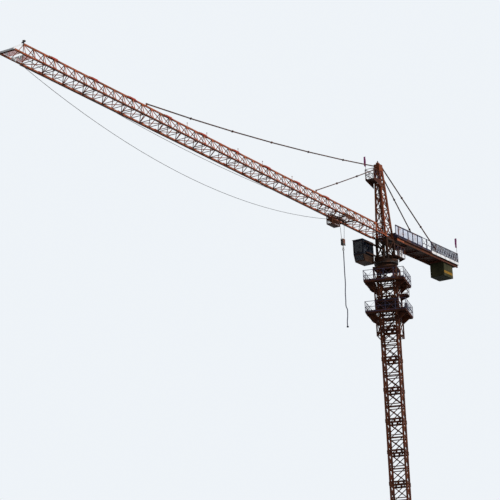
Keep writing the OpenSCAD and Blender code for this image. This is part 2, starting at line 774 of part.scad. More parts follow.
// The upper chord with the lugs of the ties and the rope guides
module jib_top_chord() {
    a = panel + 100;
    color(red) on_jib() {
        translate([a, -top_w / 2, jib_h - top_w / 2]) cube([top_end - a, top_w, top_w]);
        for (k = [long_panel, short_panel])
            translate([(k + 1) * panel, 0, jib_h + top_w / 2])
                rotate([0, -90, 0]) lug(lug_l, 2 * eye_r, pin_r + run_gap);
        for (k = [2 * section_panels:section_panels:panels - 1])
            translate([(k + 1) * panel - 55, -top_w / 2 - 8, jib_h - top_w / 2 - 8])
                cube([110, top_w + 16, top_w + 16]);
        for (s = guide_at) translate([s * panel, 0, jib_h]) {
            cylinder(d = 14, h = top_w / 2 + 150, $fn = 24);
            translate([0, 0, top_w / 2 + 140]) cylinder(d = 40, h = 24, $fn = 24);
        }
    }
}

// The frame, white bar and sheaves at the jib's outer end
module jib_tip() {
    y = jib_w / 2;
    color([0.8, 0.78, 0.75]) on_jib() {
        translate([tip_s, -y - chord_w / 2, -chord_w / 2])
            cube([chord_w, 2 * y + chord_w, chord_w]);
        difference() {
            bar([top_end, 0, jib_h], [tip_s + chord_w / 2, 0, 0], 50);
            translate([0, -jib_w, 0]) cube([top_end, 2 * jib_w, 2 * jib_h]);
        }
        for (sy = [-1, 1]) translate([axle_s, sy * 120, -chord_w / 2 - 40]) rotate([90, 0, 0])
            cylinder(r = sheave_r, h = 30, center = true, $fn = 32);
        translate([axle_s - 25, chord_w / 2 - y, -chord_w / 2 - 15])
            cube([50, 2 * y - chord_w, 30]);
    }
}

// A tie from point a to point b with couplers, and a fork at each end
module tie(a, b, d, parts, sag) {
    v = b - a;
    run = norm([v[0], v[1]]);
    pts = [for (i = [0:parts]) let (k = i / parts)
        [k * run, 0, k * v[2] - 4 * sag * k * (1 - k)]];
    u0 = (pts[1] - pts[0]) / norm(pts[1] - pts[0]);
    u1 = (pts[parts - 1] - pts[parts]) / norm(pts[parts - 1] - pts[parts]);
    fork = 2 * eye_r;
    w = lug_t + 2 * run_gap + 2 * 12;
    h = d + 8;
    translate(a) rotate([0, 0, atan2(v[1], v[0])]) {
        for (i = [0:parts - 1])
            bar(pts[i] + (i == 0 ? fork * u0 : [0, 0, 0]),
                pts[i + 1] + (i == parts - 1 ? fork * u1 : [0, 0, 0]), d);
        if (parts > 1) for (i = [1:parts - 1]) translate(pts[i]) rotate([90, 0, 0])
            cylinder(d = 2.2 * d, h = 1.6 * d, center = true, $fn = 16);
        for (e = [[pts[0], u0], [pts[parts], u1]]) translate(e[0])
            rotate([0, acos(e[1][2]), atan2(e[1][1], e[1][0])]) {
                for (sy = [-1, 1]) translate([-h / 2, sy > 0 ? w / 2 - 12 : -w / 2, -h / 2])
                    cube([h, 12, fork + 30 + h / 2]);
                translate([-h / 2, -w / 2, fork - 20]) cube([h, w, 50]);
                rotate([90, 0, 0]) cylinder(r = pin_r, h = w + 20, center = true, $fn = 32);
            }
    }
}

// Bore of the upper chord's lug at panel k
function jib_lug(k) = jib_pt((k + 1) * panel, 0, jib_h + top_w / 2 + lug_l);

module jib_long_tie() {
    color(dark) tie(head_pin, jib_lug(long_panel), tie_d, 6, tie_sag);
}

module jib_short_tie() {
    color(dark) tie(head_pin2, jib_lug(short_panel), tie_d, 3, 20);
}

// Two beams with cross members
module counter_jib_frame() {
    x0 = jib_foot;
    inner = cjib_w / 2 - beam_w;
    face = turret_y / 2 + run_gap;
    color(red) {
        for (sy = [-1, 1]) {
            translate([-cjib_l, sy > 0 ? inner : -cjib_w / 2, beam_z])
                cube([cjib_l - x0 + 45, beam_w, beam_h]);
            translate([-x0, sy * face, jib_z]) rotate([sy * -90, 0, 0])
                cylinder(r = 45, h = inner + 1 - face, $fn = 32);
            translate([-x0, sy * (face - lug_t - 20), jib_z]) rotate([sy * -90, 0, 0])
                cylinder(r = pin_r, h = lug_t + 40, $fn = 32);
            q = [deck_pin[0], sy * deck_pin[1], deck_pin[2]];
            p = [rear_pin[0], sy * rear_pin[1], rear_pin[2]];
            translate([q[0], q[1], deck_z - 1]) rotate([0, 0, atan2((p - q)[1], (p - q)[0])])
                rotate([0, -90, 0]) lug(111, 2 * eye_r, pin_r + run_gap);
        }
        first = x0 + 130;
        for (x = [each [for (k = [0:4]) first + k * (-slab_front - 90 - first) / 4], cjib_l - 100])
            translate([-x - 30, -inner - 1, beam_z + 20]) cube([60, 2 * inner + 2, 80]);
    }
}

module counter_jib_floor() {
    w = cjib_w / 2 + deck_over;
    color([0.35, 0.35, 0.33]) translate([0, 0, deck_z]) difference() {
        translate([-cjib_l, -w, 0]) cube([cjib_l - jib_foot, 2 * w, deck_t]);
        translate([slab_x - 20, -cjib_w / 2 - 4, -1])
            cube([slabs * (slab_t + 10) + 30, cjib_w + 8, deck_t + 2]);
        for (sy = [-1, 1]) translate([deck_pin[0] - 60, sy * deck_pin[1] - 40, -1])
            cube([120, 80, deck_t + 2]);
    }
}

// Handrails along both sides and across the end, with toe boards
module counter_jib_rails() {
    w = cjib_w / 2 + deck_over - rail_d / 2;
    x0 = jib_foot + rail_d / 2;
    x1 = cjib_l - rail_d / 2;
    end_w = w - rail_d / 2 - run_gap;
    color([0.25, 0.3, 0.5]) translate([0, 0, deck_z + deck_t]) {
        for (sy = [-1, 1]) {
            for (k = [0:rail_posts]) translate([-x0 - k * (x1 - x0) / rail_posts, sy * w, 0])
                bar([0, 0, 0], [0, 0, cjib_rail], rail_d);
            for (h = [0.5, 1])
                bar([-x1, sy * w, h * cjib_rail], [-x0, sy * w, h * cjib_rail], rail_d - 2);
            translate([-x1, sy * w - 4, 0]) cube([x1 - x0, 8, toe_h]);
        }
        for (h = [0.5, 1])
            bar([-x1, -end_w, h * cjib_rail], [-x1, end_w, h * cjib_rail], rail_d - 2);
        translate([-x1 - 4, -end_w, 0]) cube([8, 2 * end_w, toe_h]);
        for (y = [-end_w / 3, end_w / 3])
            translate([-x1, y, 0]) bar([0, 0, 0], [0, 0, cjib_rail], rail_d);
    }
}

module counter_jib_ties() {
    color(dark) for (sy = [-1, 1])
        tie([deck_pin[0], sy * deck_pin[1], deck_pin[2]],
            [rear_pin[0], sy * rear_pin[1], rear_pin[2]], ctie_d, 3, 10);
}

// Concrete slabs that hang between the beams by their shoulders
module counterweight() {
    inner = cjib_w / 2 - beam_w - 4;
    color([0.3, 0.3, 0.25]) for (i = [0:slabs - 1])
        translate([slab_x + i * (slab_t + 10), 0, jib_z]) {
            translate([0, -inner, -slab_h]) cube([slab_t, 2 * inner, slab_h + beam_h]);
            translate([0, -cjib_w / 2, deck_z - jib_z + run_gap]) cube([slab_t, cjib_w, 80]);
        }
}

module hoist_winch() {
    color(dark) translate([-winch_at, 0, deck_z + deck_t]) {
        translate([-330, -winch_y / 2, 0]) cube([winch_x, winch_y, 30]);
        for (sy = [-1, 1]) translate([-200, sy * 260 - 20, 29]) cube([400, 40, 350]);
        translate([0, 0, 230]) rotate([90, 0, 0])
            cylinder(d = 300, h = 482, center = true, $fn = 48);
        translate([260, -200, 29]) cube([260, 400, 230]);
    }
}

// Children in the cab's own frame, from its rear lower corner
module at_cab() {
    translate([cab_at, -turret_y / 2 - cab_gap - cab_y, jib_z - cab_drop]) children();
}

// Side outline of the cab, drawn in by t
module cab_outline(t) {
    polygon([[t, t], [cab_x - nose_x - 0.8 * t, t], [cab_x - t, nose_z + 0.3 * t],
        [cab_x - t, cab_z - t], [t, cab_z - t]]);
}

// Cab shell with window openings and a roof that stands over the front
module cab() {
    lean = atan(nose_x / nose_z);
    color([0.3, 0.12, 0.06]) at_cab() {
        difference() {
            translate([0, cab_y, 0]) rotate([90, 0, 0]) linear_extrude(cab_y) cab_outline(0);
            translate([0, cab_y - cab_t, 0]) rotate([90, 0, 0])
                linear_extrude(cab_y - 2 * cab_t) cab_outline(cab_t);
            translate([cab_x - 2 * cab_t, 2 * cab_t, nose_z + 60])
                cube([3 * cab_t, cab_y - 4 * cab_t, cab_z - nose_z - 130]);
            translate([cab_x - nose_x, 0, 0]) rotate([0, lean, 0])
                translate([-2 * cab_t, 2 * cab_t, 50]) cube([3 * cab_t, cab_y - 4 * cab_t, 240]);
            translate([side_pane, -1, nose_z + 40])
                cube([cab_x - side_pane - 2.5 * cab_t, cab_y + 2, cab_z - nose_z - 130]);
        }
        translate([-10, -15, cab_z - 1]) cube([cab_x + 60, cab_y + 30, 18]);
    }
}

module cab_glass() {
    lean = atan(nose_x / nose_z);
    color([0.05, 0.06, 0.08]) at_cab() {
        translate([cab_x - cab_t + 8, 2 * cab_t + run_gap, nose_z + 60 + run_gap])
            cube([8, cab_y - 4 * cab_t - 2 * run_gap, cab_z - nose_z - 130 - 2 * run_gap]);
        translate([cab_x - nose_x, 0, 0]) rotate([0, lean, 0])
            translate([-16, 2 * cab_t + run_gap, 50 + run_gap])
                cube([8, cab_y - 4 * cab_t - 2 * run_gap, 240 - 2 * run_gap]);
        for (y = [8, cab_y - 16]) translate([side_pane + run_gap, y, nose_z + 40 + run_gap])
            cube([cab_x - side_pane - 2.5 * cab_t - 2 * run_gap, 8,
                cab_z - nose_z - 130 - 2 * run_gap]);
    }
}

// Beams that carry the cab on the turret's side
module cab_bracket() {
    y = turret_y / 2;
    color(dark) for (z = [table_top + 40, jib_z - 330])
        translate([-turret_x / 2, -y - cab_gap, z])
            cube([cab_at + turret_x / 2 + 0.8 * cab_x, cab_gap, 60]);
}

// Side plates and cross members that hang under the lower chords
module trolley_frame() {
    y = jib_w / 2 + chord_w / 2 + rail_w + 6;
    color(dark) on_jib() translate([trolley_s, 0, 0]) {
        for (sy = [-1, 1]) translate([-trolley_l / 2, sy > 0 ? y : -y - 16, -120])
            cube([trolley_l, 16, 170]);
        for (sx = [-1, 1])
            translate([sx * (trolley_l / 2 - 60) - 25, -y, -120]) cube([50, 2 * y, 50]);
        for (sy = [-1, 1]) translate([-trolley_l / 2 + 60, sy * 60 - 10, -120])
            cube([trolley_l - 60 + basket_l, 20, 50]);
    }
}

module trolley_wheels() {
    y0 = jib_w / 2 + chord_w / 2;
    color([0.2, 0.2, 0.2]) on_jib() translate([trolley_s, 0, 0]) {
        for (sx = [-1, 1]) for (sy = [-1, 1])
            translate([sx * 330, sy * (y0 + 5), 10 - chord_w / 2 + wheel_r + run_gap])
                rotate([sy * -90, 0, 0]) {
                    cylinder(r = wheel_r, h = rail_w - 6, $fn = 32);
                    cylinder(r = 14, h = rail_w + 1, $fn = 32);
                }
        for (sx = [-1, 1]) translate([sx * sheave_x, 0, -sheave_n]) rotate([90, 0, 0]) {
            cylinder(r = sheave_r, h = 40, center = true, $fn = 48);
            cylinder(r = 14, h = 100, center = true, $fn = 32);
        }
    }
}

module service_basket() {
    w = basket_w;
    h = basket_z - 120 - run_gap;
    b = 24;
    color(dark) on_jib() translate([trolley_s + trolley_l / 2 - 5, 0, -basket_z]) {
        translate([0, -w / 2, 0]) cube([basket_l, w, b]);
        for (x = [b / 2, basket_l - b / 2]) for (sy = [-1, 1])
            bar([x, sy * (w - b) / 2, 0], [x, sy * (w - b) / 2, h], b);
        for (z = [h / 2, h - b / 2]) {
            for (sy = [-1, 1]) bar([0, sy * (w - b) / 2, z], [basket_l, sy * (w - b) / 2, z], b);
            for (x = [b / 2, basket_l - b / 2]) bar([x, -w / 2, z], [x, w / 2, z], b);
        }
    }
}

function sag_pts(a, b, sag, n) = [for (i = [0:n]) let (k = i / n)
    a + k * (b - a) - [0, 0, 4 * sag * k * (1 - k)]];

module lower_slack_rope() slack_rope(-1, low_sag);

module slack_rope(side, sag) {
    steep = atan(4 * sag / (axle_s - trolley_s));
    color("dimgray") tube(sag_pts(jib_pt(trolley_s + trolley_l / 2 - 32.5, side * 340, -95),
        jib_pt(axle_s - 25 - run_gap - rope_d / 2 * sin(steep), side * 180, -chord_w / 2),
        sag, 24), rope_d);
}

module upper_slack_rope() slack_rope(1, high_sag);

module rope_falls() {
    c = jib_pt(trolley_s, 0, 0);
    tilt = atan((sheave_x + sheave_r - block_r) / (block_z - sheave_n));
    x = (sheave_r + rope_d / 2 + run_gap) / cos(tilt);
    color("dimgray") for (s = [-1, 1])
        bar([c[0] + s * block_r, 0, jib_z - block_z],
            jib_pt(trolley_s + s * sheave_x, 0, -sheave_n) + [s * x, 0, 0], rope_d);
}

module hook_block() {
    c = jib_pt(trolley_s, 0, 0);
    color(dark) translate([c[0], 0, jib_z - block_z]) difference() {
        union() {
            for (sy = [-1, 1]) translate([-block_r - 10, sy * 40 - 10, -170])
                cube([2 * block_r + 20, 20, 290]);
            rotate([90, 0, 0])
                cylinder(r = block_r - rope_d / 2 - run_gap, h = 58, center = true, $fn = 48);
            rotate([90, 0, 0]) cylinder(r = pin_r, h = 100, center = true, $fn = 32);
            translate([-60, -40, -170]) cube([120, 80, foot_plate]);
        }
        translate([0, 0, -171]) cylinder(r = shank_r + run_gap, h = foot_plate + 2, $fn = 32);
    }
}

// Shank, nut and bowl of the hook, hung in the block's foot
module hook() {
    nut = hook_drop - 170 + foot_plate + run_gap;
    color([0.3, 0.3, 0.3]) at_hook() {
        translate([0, 0, bowl_r]) cylinder(r = shank_r, h = nut - bowl_r + 1, $fn = 32);
        translate([0, 0, nut]) cylinder(r = shank_r + 6, h = 18, $fn = 32);
        rotate([90, 0, 0]) rotate([0, 0, 90]) rotate_extrude(angle = 280, $fn = 48)
            translate([bowl_r, 0]) circle(r = hook_wire, $fn = 24);
    }
}

// The ring that hangs in the hook's bowl and carries the sling
module sling_ring() {
    color([0.3, 0.3, 0.3]) at_hook() translate([0, 0, -ring_drop]) rotate([0, 90, 0])
        rotate_extrude($fn = 48) translate([ring_hang, 0]) circle(r = ring_wire, $fn = 24);
}

module sling() {
    color([0.2, 0.2, 0.25]) at_hook()
        translate([0, 0, -ring_drop - ring_hang - ring_wire - run_gap])
        tube(sling_pts, sling_d, 8);
}

anchor_frame();
mast_front();
mast_back();
mast_left();
mast_right();
cage_front();
cage_back();
cage_left();
cage_right();
upper_walkway();
lower_walkway();
upper_walkway_rails();
lower_walkway_rails();
side_platform();
jacking_beam();
power_pack();
slewing_support();
turntable();
turret_frame();
turret_platform();
cab();
cab_bracket();
cab_glass();
tower_head();
head_platform();
flag_poles();
flags();
jib_floor();
jib_left_side();
jib_right_side();
jib_top_chord();
jib_tip();
jib_long_tie();
jib_short_tie();
counter_jib_frame();
counter_jib_floor();
counter_jib_rails();
counter_jib_ties();
counterweight();
hoist_winch();
trolley_frame();
trolley_wheels();
service_basket();
upper_slack_rope();
lower_slack_rope();
rope_falls();
hook_block();
hook();
sling_ring();
sling();
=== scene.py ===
import math
from itertools import product

import bmesh
import bpy
from mathutils import Matrix, Vector


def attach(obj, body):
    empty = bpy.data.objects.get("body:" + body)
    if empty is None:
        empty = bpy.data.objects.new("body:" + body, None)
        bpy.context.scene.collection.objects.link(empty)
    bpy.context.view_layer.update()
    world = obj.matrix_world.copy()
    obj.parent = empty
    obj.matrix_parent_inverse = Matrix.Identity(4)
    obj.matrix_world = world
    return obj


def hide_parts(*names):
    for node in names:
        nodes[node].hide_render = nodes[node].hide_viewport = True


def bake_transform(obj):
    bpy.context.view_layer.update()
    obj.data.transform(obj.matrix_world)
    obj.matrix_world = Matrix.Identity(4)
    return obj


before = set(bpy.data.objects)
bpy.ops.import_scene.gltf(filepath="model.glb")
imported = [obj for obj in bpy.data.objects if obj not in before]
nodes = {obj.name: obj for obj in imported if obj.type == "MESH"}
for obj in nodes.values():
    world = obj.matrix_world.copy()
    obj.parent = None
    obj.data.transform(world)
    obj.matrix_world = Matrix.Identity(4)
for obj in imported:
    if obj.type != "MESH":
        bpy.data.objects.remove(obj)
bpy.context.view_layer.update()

scene = bpy.context.scene

# Sizes of the crane that the pieces are fitted to, in metres and radians
MAST_TURN = math.radians(18)
JIB_RISE = math.radians(1.5)
MAST_HALF = 0.4
LEG = 0.08
SLEEVE = 0.014
BASE_H = 0.6
SECTION = 1.4
SECTIONS = 18
CROSSINGS = (0.36, 1.04)        # heights in a section where its braces cross
MAST_TOP = 25.8
CAGE_HALF = 0.54
WALK_OUT = 0.925
UPPER_WALK = MAST_TOP - 0.66
LOWER_WALK = MAST_TOP - 2.11
SIDE_WALK = MAST_TOP - 1.26
RAIL_H = 0.5
RAIL_D = 0.02
SLEW_Z = 26.09
RING_TOP = SLEW_Z + 0.11
RING_R = 0.53
TABLE_TOP = 26.3603
JIB_Z = 27.2403
JIB_FOOT = 0.43
JIB_HALF = 0.332
JIB_H = 0.59
PANEL = 0.6
PANELS = 42
HEAD_TOP = JIB_Z + 3.5
HEAD_WALK = HEAD_TOP - 0.9
HEAD_WALK_X = 0.3703            # where the head's platform starts
HEAD_WALK_L = 0.72
HEAD_WALK_HALF = 0.225
DECK = JIB_Z - 0.045 + 0.125
FLOOR = DECK + 0.024
CJIB_L = 6.4
DECK_HALF = 0.49
FIRST_POST = -JIB_FOOT - 0.01   # posts of the counter-jib's rails
POST_GAP = (CJIB_L - 0.02 - JIB_FOOT) / 13
LEAD = -0.17                    # where the boards start, in front of the first post
POLE_IN = RAIL_D + 0.0144       # from a rail's outer face to a flag pole's middle
SLAB_BACK = -5.95
DRUM_X = -2.8
CAB = Vector((0.44, -0.895, JIB_Z - 1.2))
CAB_L, CAB_W, CAB_H = 0.95, 0.52, 0.98
TROLLEY = 3.875
SHEAVE_AT = 0.12                # the trolley's sheaves, from its middle and from the chords
SHEAVE_N = -0.095
SHEAVE_R = 0.0905
BLOCK_DROP = 0.99               # from the jib's pins to the block, and on to the hook
HOOK_DROP = 0.29
JIB_END = (PANELS + 1) * PANEL
TIP = JIB_END + 1.2
AXLE = JIB_END + 0.6
ROPE = 0.018


# Camera: the photograph's viewing angle, for a 500 x 500 frame

def add_camera():
    forward = Vector((-0.8135, -0.5096, 0.2802)).normalized()
    level = Vector((-0.5309, 0.8475, 0.0)).normalized()
    up = forward.cross(level) * -1
    roll = -0.0428
    right = math.cos(roll) * level + math.sin(roll) * up
    up = math.cos(roll) * up - math.sin(roll) * level
    turn = Matrix((right, up, -forward)).transposed()
    data = bpy.data.cameras.new("camera")
    data.sensor_width = 36.0
    data.lens = 148.3
    data.clip_end = 2000.0
    camera = bpy.data.objects.new("camera", data)
    camera.matrix_world = Matrix.Translation((79.38, 42.48, 0.79)) @ turn.to_4x4()
    scene.collection.objects.link(camera)
    scene.camera = camera


add_camera()


# Node trees: a socket with arithmetic, and one method that makes nodes

class Wire:
    """An output socket. Its operators add Math nodes."""

    def __init__(self, graph, socket):
        self.graph = graph
        self.socket = socket

    def out(self, name):
        return Wire(self.graph, self.socket.node.outputs[name])

    def math(self, operation, *others):
        return self.graph.add("ShaderNodeMath", {"operation": operation}, self, *others)

    def __add__(self, other):
        return self.math("ADD", other)

    def __sub__(self, other):
        return self.math("SUBTRACT", other)

    def __mul__(self, other):
        return self.math("MULTIPLY", other)

    def __truediv__(self, other):
        return self.math("DIVIDE", other)

    def __rsub__(self, other):
        return self.graph.add("ShaderNodeMath", {"operation": "SUBTRACT"}, other, self)

    def __neg__(self):
        return 0.0 - self

    __radd__ = __add__
    __rmul__ = __mul__

    def clamp(self):
        return self.graph.add("ShaderNodeMath",
                              {"operation": "MULTIPLY", "use_clamp": True}, self, 1.0)

    def step(self, low, high):
        """0 below low, 1 above high, smooth between."""
        return self.graph.add("ShaderNodeMapRange", {"interpolation_type": "SMOOTHSTEP"},
                              self, low, high, 0.0, 1.0)


class Graph:
    """A node tree and the one method that adds nodes to it."""

    def __init__(self, tree):
        self.tree = tree

    def add(self, kind, settings, *values, **named):
        node = self.tree.nodes.new(kind)
        for name, value in settings.items():
            setattr(node, name, value)
        pairs = list(zip([s for s in node.inputs if s.enabled], values))
        pairs += [(node.inputs[name.replace("_", " ")], value) for name, value in named.items()]
        for socket, value in pairs:
            for one in value if isinstance(value, list) else [value]:
                if isinstance(one, Wire):
                    self.tree.links.new(one.socket, socket)
                elif one is not None:
                    plain = socket.type == "RGBA" and len(one) == 3
                    socket.default_value = (*one, 1.0) if plain else one
        shown = [s for s in node.outputs if s.enabled]
        return Wire(self, shown[0]) if shown else None

    def mix(self, share, first, second, blend="MIX"):
        return self.add("ShaderNodeMix", {"data_type": "RGBA", "blend_type": blend},
                        share, first, second)


class Finish(Graph):
    """The graph of one material."""

    def __init__(self, name):
        self.material = bpy.data.materials.new(name)
        self.material.use_nodes = True
        super().__init__(self.material.node_tree)
        self.tree.nodes.clear()
        self.place = self.add("ShaderNodeTexCoord", {}).out("Object")

    def noise(self, scale, detail, stretch=None, rough=0.55):
        place = self.place
        if stretch:
            place = self.add("ShaderNodeVectorMath", {"operation": "MULTIPLY"}, place, stretch)
        return self.add("ShaderNodeTexNoise", {}, place, scale, detail, rough)

    def part(self, axis, place=None):
        return self.add("ShaderNodeSeparateXYZ", {}, place or self.place).out(axis)

    def done(self, colour, rough, metal=0.0, bump=None, depth=0.002, strength=0.5,
             coat=None, alpha=None, sheen=0.0, gloss=0.5):
        shader = self.tree.nodes.new("ShaderNodeBsdfPrincipled")
        given = {"Base Color": colour, "Roughness": rough, "Metallic": metal,
                 "Coat Weight": coat, "Alpha": alpha}
        for name, value in given.items():
            if isinstance(value, Wire):
                self.tree.links.new(value.socket, shader.inputs[name])
            elif value is not None:
                shader.inputs[name].default_value = value
        shader.inputs["Sheen Weight"].default_value = sheen
        shader.inputs["Specular IOR Level"].default_value = gloss
        if bump is not None:
            normal = self.add("ShaderNodeBump", {}, Strength=strength, Distance=depth,
                              Height=bump)
            self.tree.links.new(normal.socket, shader.inputs["Normal"])
        end = self.tree.nodes.new("ShaderNodeOutputMaterial")
        self.tree.links.new(shader.outputs[0], end.inputs["Surface"])
        return self.material


RUST_DARK = (0.050, 0.016, 0.008)
RUST_LIGHT = (0.230, 0.075, 0.025)
GRIME = (0.030, 0.022, 0.018)
# Near-black of the painted shade on downward faces
SHADE_BLACK = (0.014, 0.007, 0.005)


def weathered_paint(name, colour, faded, wear, dirt, rough=0.42, under=0.85):
    """Site paint: faded in patches, painted light on upward faces, painted shade on downward
    faces, streaked by rain, rusting where it is chipped.
    """
    g = Finish(name)
    facing = g.part("Z", g.add("ShaderNodeNewGeometry", {}).out("Normal"))
    # Upward faces lightened: painted light on the tops, with some sun-fade
    lit_top = facing.step(0.15, 0.85)
    # Downward faces darkened: painted shade under things, with some grime
    underside_shade = (facing * -1.0).step(-0.35, 0.50) * under
    cloud = g.noise(0.8, 4.0)
    tone = g.noise(5.5, 3.0, stretch=(1.0, 1.0, 0.6))
    streak = g.noise(3.0, 4.0, stretch=(9.0, 9.0, 0.7))
    patch = g.noise(3.4, 6.0, rough=0.65)
    chip = g.noise(52.0, 3.0, rough=0.6)
    fine = g.noise(240.0, 2.0)
    rust = (patch * 0.62 + chip * 0.42).step(0.60 - 0.07 * wear, 0.66 - 0.07 * wear)
    halo = (patch * 0.62 + chip * 0.30).step(0.44 - 0.06 * wear, 0.62 - 0.06 * wear)
    film = (streak * 0.7 + cloud * 0.5).step(0.50, 0.82) * dirt
    # Random fading, plus the painted light on upward faces
    fade_and_top_light = cloud.step(0.35, 0.65) * 0.35 + tone.step(0.4, 0.7) * 0.25 + lit_top * 0.5
    paint = g.mix(fade_and_top_light.clamp(), colour, faded)
    paint = g.mix(film, paint, GRIME)
    paint = g.mix(halo * 0.35, paint, RUST_LIGHT)
    oxide = g.mix(chip.step(0.4, 0.6), RUST_DARK, RUST_LIGHT)
    paint = g.mix(rust, paint, oxide)
    # Painted shade: undersides mixed towards near-black
    paint = g.mix((underside_shade * (0.7 + tone * 0.6)).clamp(), paint, SHADE_BLACK)
    shine = (rough + film * 0.25 + fine * 0.12 - 0.06) + rust * (0.86 - rough)
    height = fine * 0.12 + chip * 0.25 - rust * 0.6
    return g.done(paint, shine.clamp(), bump=height, depth=0.0015, strength=0.45, gloss=0.12)


def greased_steel(name, colour, worn, metal):
    """Working steel: dark, with grease, brushed where it rubs, and rust in the hollows."""
    g = Finish(name)
    cloud = g.noise(2.2, 4.0)
    brush = g.noise(26.0, 3.0, stretch=(1.0, 1.0, 6.0))
    pit = g.noise(95.0, 3.0, rough=0.7)
    rust = (cloud * 0.7 + pit * 0.35).step(0.60, 0.72)
    shade = g.mix(brush.step(0.35, 0.7), colour, worn)
    shade = g.mix(rust * 0.8, shade, RUST_LIGHT)
    rough = 0.38 + pit * 0.22 + rust * 0.3
    return g.done(shade, rough.clamp(), metal=metal * (1.0 - rust),
                  bump=pit * 0.5 - rust * 0.3, depth=0.001, strength=0.4, gloss=0.25)


def galvanised(name):
    """Zinc-coated steel: spangled, dulled, with a film of dirt."""
    g = Finish(name)
    spangle = g.add("ShaderNodeTexVoronoi", {}, Vector=g.place, Scale=60.0)
    tint = spangle.out("Color")
    grey = g.mix(0.35, (0.36, 0.37, 0.38), g.mix(1.0, (0.5, 0.51, 0.52), tint, "MULTIPLY"))
    film = g.noise(2.6, 5.0).step(0.42, 0.75)
    fine = g.noise(180.0, 2.0)
    shade = g.mix(film * 0.55, grey, (0.10, 0.07, 0.05))
    return g.done(shade, (0.45 + film * 0.3 + fine * 0.1).clamp(), metal=0.75 * (1.0 - film),
                  bump=fine * 0.3 + spangle * 0.2, depth=0.0006, strength=0.35)


def cast_concrete(name):
    """Olive-stained ballast concrete with pores, rain marks, a painted ochre band and painted
    shade on its downward faces.
    """
    g = Finish(name)
    cloud = g.noise(1.6, 5.0)
    grain = g.noise(60.0, 4.0, rough=0.7)
    pore = g.add("ShaderNodeTexVoronoi", {"distance": "EUCLIDEAN"}, Vector=g.place, Scale=38.0)
    holes = 1.0 - pore.step(0.06, 0.14)
    streak = g.noise(2.4, 4.0, stretch=(7.0, 7.0, 0.5))
    height = g.part("Z")
    side = g.add("ShaderNodeNewGeometry", {}).out("Normal")
    facing = g.part("Y", side).math("ABSOLUTE").step(0.55, 0.7)
    low, high = JIB_Z - 0.53, JIB_Z - 0.41
    ragged = height + (grain * 0.02 + cloud * 0.02)
    band = ragged.step(low, low + 0.012) * (1.0 - ragged.step(high, high + 0.012))
    flaked = band * facing * (1.0 - (grain * 0.6 + cloud * 0.5).step(0.60, 0.66))
    shade = g.mix(cloud.step(0.3, 0.7), (0.024, 0.024, 0.011), (0.060, 0.054, 0.026))
    shade = g.mix(streak.step(0.5, 0.75) * 0.7, shade, (0.012, 0.011, 0.007))
    shade = g.mix(flaked, shade, (0.250, 0.130, 0.018))
    shade = g.mix(holes * 0.8, shade, (0.016, 0.015, 0.010))
    # Painted shade: downward faces darkened
    downward_shade = (g.part("Z", side) * -1.0).step(0.1, 0.8) * 0.8
    shade = g.mix(downward_shade, shade, (0.010, 0.010, 0.006))
    return g.done(shade, (0.82 + grain * 0.15).clamp(), bump=grain * 0.5 - holes,
                  depth=0.004, strength=0.6, gloss=0.1)


def cab_shell(name):
    """Blue-black cab paint above the sill and rust-brown below it, dulled by rain marks."""
    g = Finish(name)
    cloud = g.noise(2.2, 4.0)
    chip = g.noise(46.0, 3.0, rough=0.6)
    streak = g.noise(4.0, 4.0, stretch=(8.0, 8.0, 0.6))
    fine = g.noise(230.0, 2.0)
    lower = 1.0 - (g.part("Z") + cloud * 0.03).step(CAB[2] + 0.30, CAB[2] + 0.34)
    upper = g.mix(cloud.step(0.35, 0.65), (0.006, 0.008, 0.013), (0.014, 0.018, 0.028))
    brown = g.mix(cloud.step(0.4, 0.7), (0.022, 0.010, 0.005), (0.048, 0.021, 0.010))
    shade = g.mix(lower, upper, brown)
    shade = g.mix(streak.step(0.52, 0.78) * 0.5, shade, GRIME)
    rust = (cloud * 0.55 + chip * 0.5).step(0.62, 0.68)
    shade = g.mix(rust, shade, RUST_DARK)
    return g.done(shade, (0.62 + fine * 0.1 + rust * 0.25).clamp(), gloss=0.1,
                  bump=fine * 0.15 + chip * 0.2 - rust * 0.5, depth=0.0012, strength=0.4)


def tinted_glass(name):
    """Dark glass with a film of dust."""
    g = Finish(name)
    dust = g.noise(3.0, 5.0).step(0.45, 0.8)
    fine = g.noise(70.0, 2.0)
    shade = g.mix(dust * 0.35, (0.006, 0.010, 0.018), (0.050, 0.045, 0.040))
    return g.done(shade, (0.06 + dust * 0.25 + fine * 0.03).clamp(), coat=0.1,
                  alpha=(0.78 + dust * 0.16).clamp(), bump=fine, depth=0.0003, strength=0.1,
                  gloss=0.25)


def laid_rope(name, colour, worn, turns, metal):
    """Rope or sling: strands wound round it, read from the piece's own UV map."""
    g = Finish(name)
    uv = g.add("ShaderNodeUVMap", {"uv_map": "lay"})
    across = g.part("X", uv)
    along = g.part("Y", uv)
    strand = ((across * 6.0 + along * turns) * (2.0 * math.pi)).math("SINE") * 0.5 + 0.5
    fine = g.noise(160.0, 2.0)
    cloud = g.noise(1.4, 3.0)
    shade = g.mix(strand, colour, worn)
    shade = g.mix(cloud.step(0.45, 0.7) * 0.6, shade, GRIME)
    return g.done(shade, (0.5 + fine * 0.25 - strand * 0.1).clamp(), metal=metal,
                  bump=strand + fine * 0.2, strength=0.6, gloss=0.2)


def cloth(name, colour, faded):
    """Woven cloth: two crossed threads from the piece's UV map, faded by the sun."""
    g = Finish(name)
    weave = 900.0
    uv = g.add("ShaderNodeUVMap", {"uv_map": "lay"})
    warp = (g.part("X", uv) * weave).math("SINE") * 0.5 + 0.5
    weft = (g.part("Y", uv) * weave).math("SINE") * 0.5 + 0.5
    cloud = g.noise(7.0, 3.0)
    shade = g.mix(cloud.step(0.35, 0.7), colour, faded)
    shade = g.mix(warp * weft * 0.35, shade, faded)
    return g.done(shade, (0.78 + warp * 0.12).clamp(), bump=warp * weft, depth=0.0006,
                  strength=0.4, sheen=0.3)
